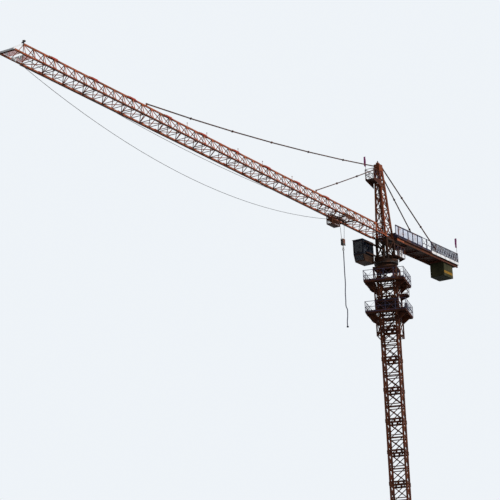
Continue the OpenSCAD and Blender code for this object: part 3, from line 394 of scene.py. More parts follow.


# Finishes: colour, faded colour (also the painted light on upward faces), share of chips, dirt,
# roughness, painted shade underneath

jib_paint = weathered_paint("jib_paint", (0.470, 0.095, 0.030), (0.700, 0.230, 0.110),
                            0.55, 0.6, 0.55, 0.9)
sleeve_paint = weathered_paint("sleeve_paint", (0.400, 0.034, 0.018), (0.600, 0.085, 0.040),
                               0.4, 0.4, 0.5)
# Head, beam, mast, cage, turret and trolley paints are the crane's one orange-red paint made
# darker, as painted shade for the parts seen in shade
head_paint = weathered_paint("head_paint", (0.260, 0.050, 0.016), (0.430, 0.125, 0.050),
                             0.8, 0.8, 0.6)
beam_paint = weathered_paint("beam_paint", (0.085, 0.016, 0.006), (0.135, 0.032, 0.011),
                             0.5, 0.8, 0.65)
mast_paint = weathered_paint("mast_paint", (0.130, 0.025, 0.010), (0.280, 0.075, 0.028),
                             0.9, 0.9, 0.62)
cage_paint = weathered_paint("cage_paint", (0.070, 0.014, 0.007), (0.150, 0.038, 0.016),
                             0.7, 0.9, 0.65)
turret_paint = weathered_paint("turret_paint", (0.018, 0.006, 0.0035), (0.042, 0.015, 0.007),
                               0.25, 0.85, 0.7)
trolley_paint = weathered_paint("trolley_paint", (0.095, 0.026, 0.012), (0.200, 0.065, 0.030),
                                0.7, 0.8, 0.65)
rail_paint = weathered_paint("rail_paint", (0.045, 0.056, 0.135), (0.150, 0.170, 0.290),
                             0.4, 0.6, 0.55)
navy_paint = weathered_paint("navy_paint", (0.008, 0.011, 0.040), (0.026, 0.034, 0.090),
                             0.3, 0.4, 0.5)
pale_paint = weathered_paint("pale_paint", (0.600, 0.660, 0.790), (0.720, 0.740, 0.800),
                             0.15, 0.2, 0.5, 0.2)
cab_paint = cab_shell("cab_paint")
trim = weathered_paint("trim", (0.020, 0.020, 0.024), (0.050, 0.050, 0.056), 0.2, 0.3, 0.6)
white_paint = weathered_paint("white_paint", (0.800, 0.800, 0.800), (0.780, 0.770, 0.750),
                              0.12, 0.15, 0.5, 0.15)
grey_paint = weathered_paint("grey_paint", (0.330, 0.340, 0.350), (0.460, 0.470, 0.470),
                             0.3, 0.5, 0.5)
dark_steel = greased_steel("dark_steel", (0.022, 0.017, 0.015), (0.075, 0.060, 0.050), 0.12)
bright_steel = greased_steel("bright_steel", (0.300, 0.290, 0.280), (0.480, 0.470, 0.450), 0.85)
tie_steel = weathered_paint("tie_steel", (0.035, 0.015, 0.014), (0.080, 0.030, 0.024), 0.6, 0.5)
zinc = galvanised("zinc")
concrete = cast_concrete("concrete")
glass = tinted_glass("glass")
wire_rope = laid_rope("wire_rope", (0.010, 0.010, 0.012), (0.055, 0.052, 0.050), 60.0, 0.2)
webbing = laid_rope("webbing", (0.030, 0.032, 0.052), (0.085, 0.090, 0.125), 45.0, 0.0)
flag_cloth = cloth("flag_cloth", (0.260, 0.022, 0.150), (0.430, 0.060, 0.260))
seat_cloth = cloth("seat_cloth", (0.030, 0.030, 0.034), (0.075, 0.075, 0.080))

NODE_FINISH = {
    jib_paint: ["jib_floor", "jib_left_side", "jib_right_side", "jib_top_chord"],
    head_paint: ["tower_head"],
    beam_paint: ["counter_jib_frame", "counter_jib_floor"],
    mast_paint: ["anchor_frame", "mast_front", "mast_back", "mast_left", "mast_right"],
    cage_paint: ["cage_front", "cage_back", "cage_left", "cage_right", "upper_walkway",
                 "lower_walkway", "side_platform", "turret_platform", "head_platform"],
    turret_paint: ["slewing_support", "turntable", "turret_frame", "cab_bracket",
                   "jacking_beam"],
    trolley_paint: ["trolley_frame", "service_basket"],
    rail_paint: ["upper_walkway_rails", "lower_walkway_rails"],
    navy_paint: ["counter_jib_rails"],
    cab_paint: ["cab"],
    white_paint: ["jib_tip"],
    tie_steel: ["jib_long_tie", "jib_short_tie", "counter_jib_ties"],
    dark_steel: ["hoist_winch", "trolley_wheels", "hook_block", "power_pack", "flag_poles"],
    bright_steel: ["hook", "sling_ring"],
    concrete: ["counterweight"],
    glass: ["cab_glass"],
}
for finish, names in NODE_FINISH.items():
    for name in names:
        mesh = nodes[name].data
        mesh.materials.clear()
        mesh.materials.append(finish)


# Places: the mast's turned frame and the jib's sloped frame

MAST_FRAME = Matrix.Rotation(MAST_TURN, 4, "Z")
JIB_FRAME = (Matrix.Translation((JIB_FOOT, 0, JIB_Z)) @ Matrix.Rotation(-JIB_RISE, 4, "Y")
             @ Matrix.Translation((-JIB_FOOT, 0, 0)))


def at(x, y, z, turn=0.0, axis="Z"):
    """A place, turned there by some degrees."""
    return Matrix.Translation((x, y, z)) @ Matrix.Rotation(math.radians(turn), 4, axis)


def jib_pt(s, t, n):
    """The point s along the jib, t to its left and n above its lower chords."""
    return JIB_FRAME @ Vector((s, t, n))


def arc(middle, across, up, first, last, steps):
    """Points of an oval about the middle, from one angle to another in degrees."""
    angles = [math.radians(first + (last - first) * k / steps) for k in range(steps + 1)]
    return [Vector(middle) + math.cos(a) * Vector(across) + math.sin(a) * Vector(up)
            for a in angles]


QUARTERS = [at(0, 0, 0, 90 * k) for k in range(4)]
TROLLEY_FRAME = JIB_FRAME @ at(TROLLEY, 0, 0)
HOOK = Vector((jib_pt(TROLLEY, 0, 0)[0], 0.0, JIB_Z - BLOCK_DROP - HOOK_DROP))
BLOCK = Vector((HOOK[0], 0, JIB_Z - BLOCK_DROP))


# Shapes made face by face

def to_mesh(work, finish):
    """The plain mesh of a bmesh, in one finish."""
    data = bpy.data.meshes.new("shape")
    work.to_mesh(data)
    work.free()
    data.materials.append(finish)
    return data


class Shape:
    """Closed forms of one finish in one mesh, set out from the shape's own place."""

    def __init__(self, place=None):
        self.place = place or Matrix()
        self.work = bmesh.new()
        self.lay = self.work.loops.layers.uv.new("lay")

    def block(self, low, high, edge=0.0, place=Matrix()):
        size = [b - a for a, b in zip(low, high)]
        middle = [(a + b) / 2 for a, b in zip(low, high)]
        matrix = self.place @ place @ Matrix.Translation(middle) @ Matrix.Diagonal((*size, 1.0))
        made = bmesh.ops.create_cube(self.work, size=1.0, matrix=matrix)
        if edge:
            edges = dict.fromkeys(e for v in made["verts"] for e in v.link_edges)
            bmesh.ops.bevel(self.work, geom=list(edges), offset=edge, segments=2, profile=0.6,
                            affect="EDGES")

    def drum(self, a, b, radius, sides=8, tip=None):
        a, b = self.place @ Vector(a), self.place @ Vector(b)
        turn = (b - a).to_track_quat("Z", "Y").to_matrix().to_4x4()
        bmesh.ops.create_cone(
            self.work, cap_ends=True, segments=sides, radius1=radius,
            radius2=radius if tip is None else tip, depth=(b - a).length,
            matrix=Matrix.Translation((a + b) / 2) @ turn)

    def turned(self, profile, sides=24, place=Matrix()):
        """A closed profile of (radius, height) turned about Z."""
        rings = []
        for k in range(sides):
            turn = self.place @ place @ Matrix.Rotation(2 * math.pi * k / sides, 4, "Z")
            rings.append([self.work.verts.new(turn @ Vector((r, 0, h))) for r, h in profile])
        for k, ring in enumerate(rings):
            after = rings[(k + 1) % sides]
            for i in range(len(profile)):
                j = (i + 1) % len(profile)
                self.work.faces.new((ring[i], after[i], after[j], ring[j]))

    def tube(self, points, radius, sides=8):
        """A swept tube with its strands' UVs: X across, Y along in metres."""
        points = [self.place @ Vector(p) for p in points]
        last = len(points) - 1
        along_y = abs((points[1] - points[0]).normalized().y) > 0.99
        side = Vector((0, 0, 1)) if along_y else Vector((0, 1, 0))
        rings, reach = [], [0.0]
        for i, point in enumerate(points):
            ahead = (points[min(i + 1, last)] - points[max(i - 1, 0)]).normalized()
            side = (side - ahead * side.dot(ahead)).normalized()
            ring = arc(point, radius * side, radius * ahead.cross(side), 0, 360, sides)[:-1]
            rings.append([self.work.verts.new(spot) for spot in ring])
            if i:
                reach.append(reach[-1] + (point - points[i - 1]).length)
        for i, k in product(range(last), range(sides)):
            j = (k + 1) % sides
            face = self.work.faces.new((rings[i][k], rings[i][j], rings[i + 1][j],
                                        rings[i + 1][k]))
            face.smooth = True
            corners = ((k, i), (k + 1, i), (k + 1, i + 1), (k, i + 1))
            for loop, (u, v) in zip(face.loops, corners):
                loop[self.lay].uv = (u / sides, reach[v])
        self.work.faces.new(list(reversed(rings[0])))
        self.work.faces.new(rings[-1])
        return self

    def mesh(self, finish, smooth=False):
        bmesh.ops.recalc_face_normals(self.work, faces=self.work.faces)
        data = to_mesh(self.work, finish)
        if smooth:
            data.polygons.foreach_set("use_smooth", [True] * len(data.polygons))
        return data


def merged(name, parts):
    """One mesh from (mesh, place) pairs, with their finishes kept."""
    data = bpy.data.meshes.new(name)
    work = bmesh.new()
    for part, place in parts:
        first = len(work.faces)
        if place is not None:
            part.transform(place)
        work.from_mesh(part)
        work.faces.ensure_lookup_table()
        kept = [finish for finish in part.materials if finish]
        for finish in kept:
            if finish.name not in data.materials:
                data.materials.append(finish)
        index = [data.materials.find((finish or kept[0]).name) for finish in part.materials]
        for face in work.faces[first:]:
            face.material_index = index[min(face.material_index, len(index) - 1)]
    work.to_mesh(data)
    work.free()
    return data


def piece(name, body, slot, *parts, replaced=()):
    """A named piece of meshes, or (mesh, place) pairs, that rides on a body."""
    parts = [p if isinstance(p, tuple) else (p, None) for p in parts]
    thing = bpy.data.objects.new(name, merged(name, parts))
    scene.collection.objects.link(thing)
    if body:
        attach(thing, body)
    if replaced:
        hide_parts(*replaced)
    return thing


# Geometry trees for what repeats

class Grower(Graph):
    """A geometry tree with named sizes."""

    def __init__(self, name, sizes):
        tree = bpy.data.node_groups.new(name, "GeometryNodeTree")
        super().__init__(tree)
        kinds = {int: "NodeSocketInt", float: "NodeSocketFloat", tuple: "NodeSocketVector"}
        face = tree.interface
        face.new_socket("Base", in_out="INPUT", socket_type="NodeSocketGeometry")
        for label, value in sizes.items():
            socket = face.new_socket(label, in_out="INPUT", socket_type=kinds[type(value)])
            socket.default_value = value
        face.new_socket("Finish", in_out="INPUT", socket_type="NodeSocketMaterial")
        face.new_socket("Made", in_out="OUTPUT", socket_type="NodeSocketGeometry")
        self.inputs = self.add("NodeGroupInput", {})

    def size(self, label):
        return self.inputs.out(label)

    def vector(self, x=0.0, y=0.0, z=0.0):
        return self.add("ShaderNodeCombineXYZ", {}, x, y, z)

    def line(self, count, start, offset):
        return self.add("GeometryNodeMeshLine", {"mode": "OFFSET"}, Count=count,
                        Start_Location=start, Offset=offset)

    def cylinder(self, radius, depth, sides):
        return self.add("GeometryNodeMeshCylinder", {}, Vertices=sides, Radius=radius,
                        Depth=depth)

    def cube(self, x, y, z):
        return self.add("GeometryNodeMeshCube", {}, Size=self.vector(x, y, z))

    def moved(self, what, move):
        return self.add("GeometryNodeTransform", {}, Geometry=what, Translation=move)

    def on_points(self, points, what, turn=None):
        return self.add("GeometryNodeInstanceOnPoints", {}, Points=points, Instance=what,
                        Rotation=turn)

    def close(self, *parts):
        joined = self.add("GeometryNodeJoinGeometry", {}, Geometry=list(parts))
        real = self.add("GeometryNodeRealizeInstances", {}, joined)
        done = self.add("GeometryNodeSetMaterial", {}, Geometry=real,
                        Material=self.size("Finish"))
        self.add("NodeGroupOutput", {}, done)
        return self.tree


def grown(tree, finish, base=None, **sizes):
    """The plain mesh that a geometry tree makes with these sizes."""
    holder = bpy.data.objects.new("holder", base or bpy.data.meshes.new("holder"))
    scene.collection.objects.link(holder)
    modifier = holder.modifiers.new("grow", "NODES")
    modifier.node_group = tree
    wanted = {**sizes, "finish": finish}
    for item in tree.interface.items_tree:
        if item.in_out == "INPUT" and item.name.lower() in wanted:
            modifier[item.identifier] = wanted.pop(item.name.lower())
    assert not wanted, f"{tree.name} has no size {list(wanted)}"
    bpy.context.view_layer.update()
    seen = holder.evaluated_get(bpy.context.evaluated_depsgraph_get())
    made = bpy.data.meshes.new_from_object(seen)
    holder.modifiers.clear()
    bpy.data.objects.remove(holder)
    return made


def laid(tree, finish, place, **sizes):
    """What a tree makes with these sizes, at a place. Other sizes stay the tree's own."""
    return grown(tree, finish, **sizes), place


def ladder_tree():
    g = Grower("ladder", {"Height": 4.0, "Width": 0.22, "Spacing": 0.15, "Rung": 0.007,
                          "Stile": 0.018})
    height, width, gap, stile = (g.size(n) for n in ("Height", "Width", "Spacing", "Stile"))
    rungs = g.on_points(
        g.line((height / gap).math("FLOOR"), g.vector(z=gap * 0.5), g.vector(z=gap)),
        g.cylinder(g.size("Rung"), width, 6), g.vector(y=math.pi / 2))
    post = g.cube(stile * 0.5, stile * 2.0, height)
    sides = [g.moved(post, g.vector(width * s, 0.0, height * 0.5)) for s in (-0.5, 0.5)]
    return g.close(rungs, *sides)


def brace_tree():
    """Crossed thin bars in each panel of a rail that runs along X."""
    g = Grower("crossed_braces", {"Length": 2.0, "Height": RAIL_H - 0.06, "Panels": 4,
                                  "Wire": 0.005})
    length, height, panels = (g.size(n) for n in ("Length", "Height", "Panels"))
    bay = length / panels
    reach = (bay * bay + height * height).math("SQRT")
    lean = bay.math("ARCTAN2", height)
    points = g.line(panels, g.vector(bay * 0.5, 0.0, height * 0.5), g.vector(bay))
    rod = g.cylinder(g.size("Wire"), reach, 6)
    return g.close(g.on_points(points, rod, g.vector(y=lean)),
                   g.on_points(points, rod, g.vector(y=-lean)))


def picket_tree():
    """Upright flat bars along X."""
    g = Grower("pickets", {"Length": 2.0, "Count": 20, "Height": 0.4, "Wide": 0.02,
                           "Thick": 0.005})
    count = g.size("Count")
    gap = g.size("Length") / count
    points = g.line(count, g.vector(gap * 0.5, 0.0, g.size("Height") * 0.5), g.vector(gap))
    return g.close(g.on_points(points, g.cube(g.size("Wide"), g.size("Thick"),
                                              g.size("Height"))))


def grating_tree():
    """Bearing bars along X, with cross bars on top of them."""
    g = Grower("grating", {"Length": 2.0, "Width": 0.4, "Pitch": 0.03, "Cross": 0.09,
                           "Bar": 0.004, "Deep": 0.008})
    length, width, pitch, cross = (g.size(n) for n in ("Length", "Width", "Pitch", "Cross"))
    bars = g.on_points(
        g.line((width / pitch).math("FLOOR"), g.vector(length * 0.5, pitch * 0.5),
               g.vector(y=pitch)),
        g.cube(length, g.size("Bar"), g.size("Deep")))
    ties = g.on_points(
        g.line((length / cross).math("FLOOR"),
               g.vector(cross * 0.5, width * 0.5, g.size("Deep") * 0.5 - 0.002),
               g.vector(cross)),
        g.cube(0.006, width, 0.006))
    return g.close(bars, ties)


def bolt_tree():
    """A hexagon head on a washer at each point of the base, along its aim."""
    g = Grower("bolts", {"Radius": 0.012, "Head": 0.008})
    radius, head = g.size("Radius"), g.size("Head")
    aim = g.add("GeometryNodeInputNamedAttribute", {"data_type": "FLOAT_VECTOR"}, "aim")
    turn = g.add("FunctionNodeAlignRotationToVector", {"axis": "Z"}, Vector=aim)
    cap = g.moved(g.cylinder(radius, head, 6), g.vector(z=head * 0.5 + 0.002))
    washer = g.moved(g.cylinder(radius * 1.5, 0.003, 10), g.vector(z=0.001))
    both = g.add("GeometryNodeJoinGeometry", {}, Geometry=[cap, washer])
    return g.close(g.on_points(g.size("Base"), both, turn))


def teeth_tree():
    """Blocks round a circle, long along its radius."""
    g = Grower("teeth", {"Radius": 0.5, "Count": 96, "Tooth": (0.02, 0.014, 0.06)})
    ring = g.add("GeometryNodeMeshCircle", {}, Vertices=g.size("Count"),
                 Radius=g.size("Radius"))
    place = g.add("GeometryNodeInputPosition", {})
    turn = g.add("FunctionNodeAlignRotationToVector", {"axis": "X"}, Vector=place)
    tooth = g.add("GeometryNodeMeshCube", {}, Size=g.size("Tooth"))
    return g.close(g.on_points(ring, tooth, turn))


def winding_tree():
    """Rope wound on a drum about Z."""
    g = Grower("windings", {"Radius": 0.15, "Length": 0.4, "Rope": 0.009})
    rope = g.size("Rope")
    turns = g.size("Length") / (rope * 2.0)
    spiral = g.add("GeometryNodeCurveSpiral", {}, Resolution=28, Rotations=turns,
                   Start_Radius=g.size("Radius"), End_Radius=g.size("Radius"),
                   Height=g.size("Length"))
    ring = g.add("GeometryNodeCurvePrimitiveCircle", {}, Resolution=6, Radius=rope)
    return g.close(g.add("GeometryNodeCurveToMesh", {}, Curve=spiral, Profile_Curve=ring,
                         Fill_Caps=True))


def mesh_tree():
    """Woven wire over a panel in XZ."""
    g = Grower("wire_mesh", {"Length": 1.0, "Height": 0.38, "Cell": 0.04, "Wire": 0.0024})
    length, height, cell, wire = (g.size(n) for n in ("Length", "Height", "Cell", "Wire"))
    ups = g.on_points(
        g.line((length / cell).math("FLOOR"), g.vector(cell * 0.5, 0.0, height * 0.5),
               g.vector(cell)),
        g.cube(wire * 2.0, wire * 2.0, height))
    levels = g.on_points(
        g.line((height / cell).math("FLOOR"), g.vector(length * 0.5, wire * 2.0, cell * 0.5),
               g.vector(z=cell)),
        g.cube(length, wire * 2.0, wire * 2.0))
    return g.close(ups, levels)


LADDER, BRACES, PICKETS = ladder_tree(), brace_tree(), picket_tree()
GRATING, BOLTS, TEETH = grating_tree(), bolt_tree(), teeth_tree()
WINDINGS, WIRE_MESH = winding_tree(), mesh_tree()


def bolts(points, radius=0.012, head=0.008):
    """Bolt heads at (place, aim) pairs."""
    base = bpy.data.meshes.new("points")
    base.from_pydata([p for p, _ in points], [], [])
    aims = base.attributes.new("aim", "FLOAT_VECTOR", "POINT")
    aims.data.foreach_set("vector", [c for _, a in points for c in Vector(a).normalized()])
    return grown(BOLTS, dark_steel, base, radius=radius, head=head)


# Sling: the cord on the hook, along the part's own route

def smooth_line(points):
    """A smooth line through the points."""
    points = [Vector(p) for p in points]
    last, parts = len(points) - 1, 8
    line = []
    for i in range(last):
        a, b = points[max(i - 1, 0)], points[i]
        c, d = points[i + 1], points[min(i + 2, last)]
        for k in range(parts):
            u = k / parts
            line.append(0.5 * (2 * b + (c - a) * u + (2 * a - 5 * b + 4 * c - d) * u * u
                               + (3 * b - a - 3 * c + d) * u ** 3))
    return line + [points[-1]]


SLING_R = 0.022
SLING_TOP = HOOK - Vector((0, 0, 0.124))
SLING_ROUTE = [
    (0, 0, 0), (8, 4, -300), (-6, -6, -700), (10, 5, -1100), (-5, 0, -1500), (25, -10, -1900),
    (60, 10, -2250), (20, -15, -2500), (-40, 10, -2650), (-60, 0, -2800), (-20, 10, -3000),
    (10, 0, -3200), (0, 0, -3450)]       # in millimetres from its top


def add_sling():
    route = smooth_line([SLING_TOP + Vector(p) / 1000 for p in SLING_ROUTE])
    rope = piece("sling_rope", "hook", "sling_webbing",
                 Shape().tube(route, SLING_R, 10).mesh(webbing), replaced=["sling"])
    eye = arc(SLING_TOP + Vector((0, 0, 0.030)), (0, 0, 0.040), (0, 0.034, 0), -171, 171, 19)
    loop = piece("sling_eye", "hook", "sling_webbing", Shape().tube(eye, 0.010).mesh(webbing))
    knot = []
    for k in range(49):
        a = 4 * math.pi * k / 48
        wide = 0.030 + 0.013 * math.cos(1.5 * a)
        knot.append(route[-1] + Vector((wide * math.cos(a), wide * math.sin(a),
                                        0.020 + 0.020 * math.sin(1.5 * a))))
    end = piece("sling_knot", "hook", "sling_webbing", Shape().tube(knot, 0.015).mesh(webbing))
    length = sum((b - a).length for a, b in zip(route, route[1:]))


add_sling()


# Ropes from the trolley to the jib's end, and from the trolley to the hook block

def sagging(a, b, sag, parts):
    return [a + (b - a) * (k / parts) - Vector((0, 0, 4 * sag * (k / parts) * (1 - k / parts)))
            for k in range(parts + 1)]


def add_slack_rope(name, side, sag, node):
    start = jib_pt(TROLLEY + 0.45 - 0.0325, side * 0.34, SHEAVE_N)
    steep = math.atan(4 * sag / (AXLE - TROLLEY))
    end = jib_pt(AXLE - 0.0253 - ROPE / 2 * math.sin(steep), side * 0.18, -0.03)
    rope = piece(name, None, "wire_rope",
                 Shape().tube(sagging(start, end, sag, 90), ROPE / 2).mesh(wire_rope),
                 replaced=[node])
    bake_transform(rope)


def add_falls():
    falls = Shape()
    for s in (-1, 1):
        top = jib_pt(TROLLEY + s * SHEAVE_AT, 0, SHEAVE_N) + Vector((s * SHEAVE_R, 0, 0))
        bottom = BLOCK + Vector((s * 0.1, 0, 0))
        falls.tube([top.lerp(bottom, k / 24) for k in range(25)], ROPE / 2)
    falls = piece("hoist_falls", None, "wire_rope", falls.mesh(wire_rope),
                  replaced=["rope_falls"])
    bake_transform(falls)


add_slack_rope("upper_trolley_rope", 1, 0.52, "upper_slack_rope")
add_slack_rope("lower_trolley_rope", -1, 1.27, "lower_slack_rope")
add_falls()


# Mast: ladder, joint bolts, gussets where braces cross, bands at the joints

def add_mast_details():
    piece("mast_ladder", "tower", "galvanised_grating",
          laid(LADDER, zinc, MAST_FRAME @ at(0, 0.29, 0.1), height=MAST_TOP - 0.2))
    heads, gussets, bands = [], Shape(MAST_FRAME), Shape(MAST_FRAME)
    inner = MAST_HALF - LEG / 2
    for i, turn in product(range(SECTIONS), QUARTERS):
        foot = BASE_H + i * SECTION
        for z in CROSSINGS:
            gussets.block((-0.003, -0.035, -0.035), (0.003, 0.035, 0.035),
                          place=turn @ at(inner - 0.022, 0, foot + z, 45, "X"))
        if i == 0:
            continue
        face = MAST_FRAME @ turn
        for y, dy, dz in product((-1, 1), (0.018, 0.062), (-0.05, 0.05)):
            heads.append((face @ Vector((MAST_HALF + SLEEVE, y * (MAST_HALF - dy), foot + dz)),
                          face.to_3x3() @ Vector((1, 0, 0))))
        for low in (-0.110, 0.040):
            bands.block((MAST_HALF - 0.060, -inner, foot + low),
                        (MAST_HALF - 0.020, inner, foot + low + 0.070), 0.003, turn)
        for y in (-0.24, 0.0, 0.24):
            bands.block((MAST_HALF - 0.045, y - 0.05, foot - 0.045),
                        (MAST_HALF - 0.037, y + 0.05, foot + 0.045), place=turn)
    piece("mast_joint_bolts", "tower", "dark_steel", bolts(heads, 0.010))
    piece("mast_gussets", "tower", "orange_red_paint", gussets.mesh(mast_paint))
    piece("mast_joint_bands", "tower", "orange_red_paint", bands.mesh(cage_paint))


add_mast_details()


# Climbing cage: walkway braces, toe boards, joists and gratings

def add_walkway_details():
    rail = WALK_OUT - RAIL_D / 2
    for label, z in (("upper", UPPER_WALK), ("lower", LOWER_WALK)):
        fence, floor, boards, beams = [], [], Shape(MAST_FRAME), Shape(MAST_FRAME)
        for turn in QUARTERS:
            face = MAST_FRAME @ turn
            fence.append(laid(BRACES, rail_paint, face @ at(rail, -rail, z + 0.03, 90),
                              length=2 * rail, wire=0.0055))
            boards.block((0, 0, 0.002), (2 * rail, 0.004, 0.075),
                         place=turn @ at(rail - 0.012, -rail, z, 90))
            floor.append(laid(GRATING, zinc, face @ at(WALK_OUT - 0.02, -CAGE_HALF, z + 0.004, 90),
                              length=CAGE_HALF + WALK_OUT - 0.03, width=0.37, pitch=0.028))
            for y in (-0.8, -0.3, 0.0, 0.3, 0.8):
                inner = CAGE_HALF + 0.012 if abs(y) < 0.6 else CAGE_HALF - 0.1
                beams.block((inner, y - 0.006, z - 0.074),
                            (WALK_OUT - 0.02, y + 0.006, z - 0.025), place=turn)
            beams.block((WALK_OUT - 0.032, 0.02 - WALK_OUT, z - 0.070),
                        (WALK_OUT - 0.020, WALK_OUT - 0.02, z - 0.025), place=turn)
        piece(f"{label}_walkway_braces", "tower", "blue_grey_paint", *fence,
              boards.mesh(cage_paint))
        piece(f"{label}_walkway_grating", "tower", "galvanised_grating", *floor,
              beams.mesh(cage_paint))


add_walkway_details()


# Slewing ring: bolts, teeth and the two slewing drives

def add_slewing_details():
    ring = arc((0, 0, RING_TOP), (0.5, 0, 0), (0, 0.5, 0), 0, 350, 35)
    piece("turntable_bolts", "slewing_part", "dark_steel",
          bolts([(p, (0, 0, 1)) for p in ring if abs(p.x) > 0.45 or abs(p.y) > 0.38]))
    piece("slewing_teeth", "tower", "dark_steel",
          laid(TEETH, dark_steel, at(0, 0, SLEW_Z - 0.036), radius=RING_R + 0.004, count=110,
               tooth=(0.018, 0.016, 0.062)))
    for label, x, y in (("front", 0.48265, 0.14), ("rear", -0.48265, -0.14)):
        body = Shape(at(x, y, RING_TOP))
        body.turned([(0.0001, 0), (0.065, 0), (0.065, 0.02), (0.05, 0.03), (0.05, 0.15),
                     (0.058, 0.16), (0.058, 0.18), (0.042, 0.20), (0.0001, 0.20)])
        body.turned([(0.0001, 0.2), (0.046, 0.2), (0.046, 0.44), (0.036, 0.46), (0.0001, 0.46)])
        body.block((-0.02, 0.03, 0.26), (0.03, 0.065, 0.34), 0.004)
        piece(f"{label}_slewing_drive", "slewing_part", "dark_steel", body.mesh(turret_paint),
              laid(TEETH, turret_paint, at(x, y, RING_TOP + 0.32), radius=0.049, count=18,
                   tooth=(0.01, 0.003, 0.2)))


add_slewing_details()


# Flags: cloth hanging in folds from the poles

POLE_FEET = [(HEAD_WALK_X + HEAD_WALK_L - POLE_IN, POLE_IN - HEAD_WALK_HALF, HEAD_WALK + 0.024,
              1.10), (POLE_IN - CJIB_L, DECK_HALF - POLE_IN, FLOOR, 1.30)]


def add_flag(name, foot, sway):
    x0, y0, z0, high = foot
    folds, cols, rows, tall = 8, 80, 26, 0.46
    top = z0 + high - 0.01
    work = bmesh.new()
    lay = work.loops.layers.uv.new("lay")
    grid = []
    for j in range(rows + 1):
        v = j / rows
        deep = 0.033 * (1 - 0.15 * math.cos(5 * v + sway))
        swing = 0.0012 * math.sin(2.3 * v + sway)
        row = []
        for i in range(cols + 1):
            u = i / cols
            across = 0.013 + 0.072 * u + 0.005 * math.sin(9 * v + 7 * u + sway)
            fold = swing * (1 + u) - deep * math.cos(u * folds * math.pi)
            drop = tall * v + 0.014 * u * (1 - v)
            row.append(work.verts.new((x0 + across, y0 + fold, top - drop)))
        grid.append(row)
    middle = [Vector((v.co.x, v.co.y, 0)) for v in grid[rows // 2]]
    wide = sum((b - a).length for a, b in zip(middle, middle[1:]))
    for j, i in product(range(rows), range(cols)):
        face = work.faces.new((grid[j][i], grid[j][i + 1], grid[j + 1][i + 1], grid[j + 1][i]))
        face.smooth = True
        for loop, (p, q) in zip(face.loops, ((i, j), (i + 1, j), (i + 1, j + 1), (i, j + 1))):
            loop[lay].uv = (p / cols * wide, q / rows * tall)
    flag = piece(name, "slewing_part", "flag_cloth", to_mesh(work, flag_cloth),
                 replaced=["flags"])


add_flag("head_flag", POLE_FEET[0], 0.4)
add_flag("tail_flag", POLE_FEET[1], 2.1)


# Jib: section joints, second struts beside them, and the tip

SECTION_AT = [(k + 1) * PANEL for k in range(8, PANELS, 4)]


def add_section_joints():
    clamps, struts, heads = Shape(JIB_FRAME), Shape(JIB_FRAME), []
    for s in SECTION_AT:
        for middle, t, n, half, thick in ((s, 0.0, JIB_H, 0.043, 0.018),
                                          (s + 0.15, JIB_HALF, 0.0, 0.040, 0.016),
                                          (s + 0.15, -JIB_HALF, 0.0, 0.040, 0.016)):
            for side in (-0.030, 0.030):
                clamps.block((middle + side - thick / 2, t - half, n - half),
                             (middle + side + thick / 2, t + half, n + half), 0.003)
            for dt, dn, side in product((-0.028, 0.028), (-0.028, 0.028), (1, -1)):
                heads.append((jib_pt(middle + side * 0.039, t + dt, n + dn), (side, 0, 0)))
        for t in (-JIB_HALF, JIB_HALF):
            clamps.block((s + 0.095, t - 0.024, -0.034), (s + 0.205, t + 0.024, 0.062), 0.004)
        struts.tube([(s + 0.15, 0.03 - JIB_HALF, 0), (s + 0.15, JIB_HALF - 0.03, 0)], 0.017)
        clamps.tube([(s - 0.56, 0, JIB_H), (s - 0.05, 0, JIB_H)], 0.043, 12)
        clamps.block((s - 0.50, -0.012, JIB_H + 0.036), (s - 0.12, 0.012, JIB_H + 0.074), 0.003)
    piece("section_sleeves", "slewing_part", "orange_red_paint", clamps.mesh(sleeve_paint))
    piece("section_struts", "slewing_part", "orange_red_paint", struts.mesh(jib_paint))
    piece("section_bolts", "slewing_part", "dark_steel", bolts(heads, 0.008, 0.007))


def add_jib_tip():
    bumper, posts = Shape(JIB_FRAME @ at(TIP, 0, 0)), Shape(JIB_FRAME @ at(JIB_END, 0, 0))
    reach = JIB_HALF + 0.040
    bumper.block((-0.020, -reach, -0.058), (0.030, reach, -0.012), 0.006)
    for t in (-0.22, 0.22):
        bumper.block((0.024, t - 0.030, -0.062), (0.056, t + 0.030, -0.008), 0.006)
    piece("tip_bumper", "slewing_part", "orange_red_paint", bumper.mesh(cage_paint))
    for t, foot in product((-JIB_HALF, JIB_HALF), (0.55, -0.05)):
        posts.tube([(0.25, 0, JIB_H - 0.02), (foot, t, 0.02)], 0.014)
        posts.block((foot - 0.04, t - 0.03, 0.020), (foot + 0.04, t + 0.03, 0.036), 0.003)
    piece("tip_braces", "slewing_part", "orange_red_paint", posts.mesh(jib_paint))
    end = Shape(JIB_FRAME @ at(JIB_END + 0.3, 0, JIB_H))
    end.block((-0.010, -0.050, -0.050), (0.022, 0.050, 0.070), 0.004)
    end.drum((-0.06, 0, 0.03), (-0.06, 0, 0.11), 0.010)
    end.block((-0.105, -0.045, 0.095), (-0.015, 0.045, 0.150), 0.008)
    piece("jib_end_fitting", "slewing_part", "dark_steel", end.mesh(trim))
    piece("tip_platform", "slewing_part", "orange_red_paint",
          *[laid(GRATING, sleeve_paint, JIB_FRAME @ at(x0, 0.035 - JIB_HALF, 0.036),
                 length=x1 - x0, width=2 * JIB_HALF - 0.07, pitch=0.034, cross=0.08, bar=0.006,
                 deep=0.012)
            for x0, x1 in ((JIB_END + 0.06, JIB_END + 0.52), (JIB_END + 0.68, TIP - 0.02))])


add_section_joints()
add_jib_tip()


# Tower head: ladder, braces of the platform's rails, grating, lamp

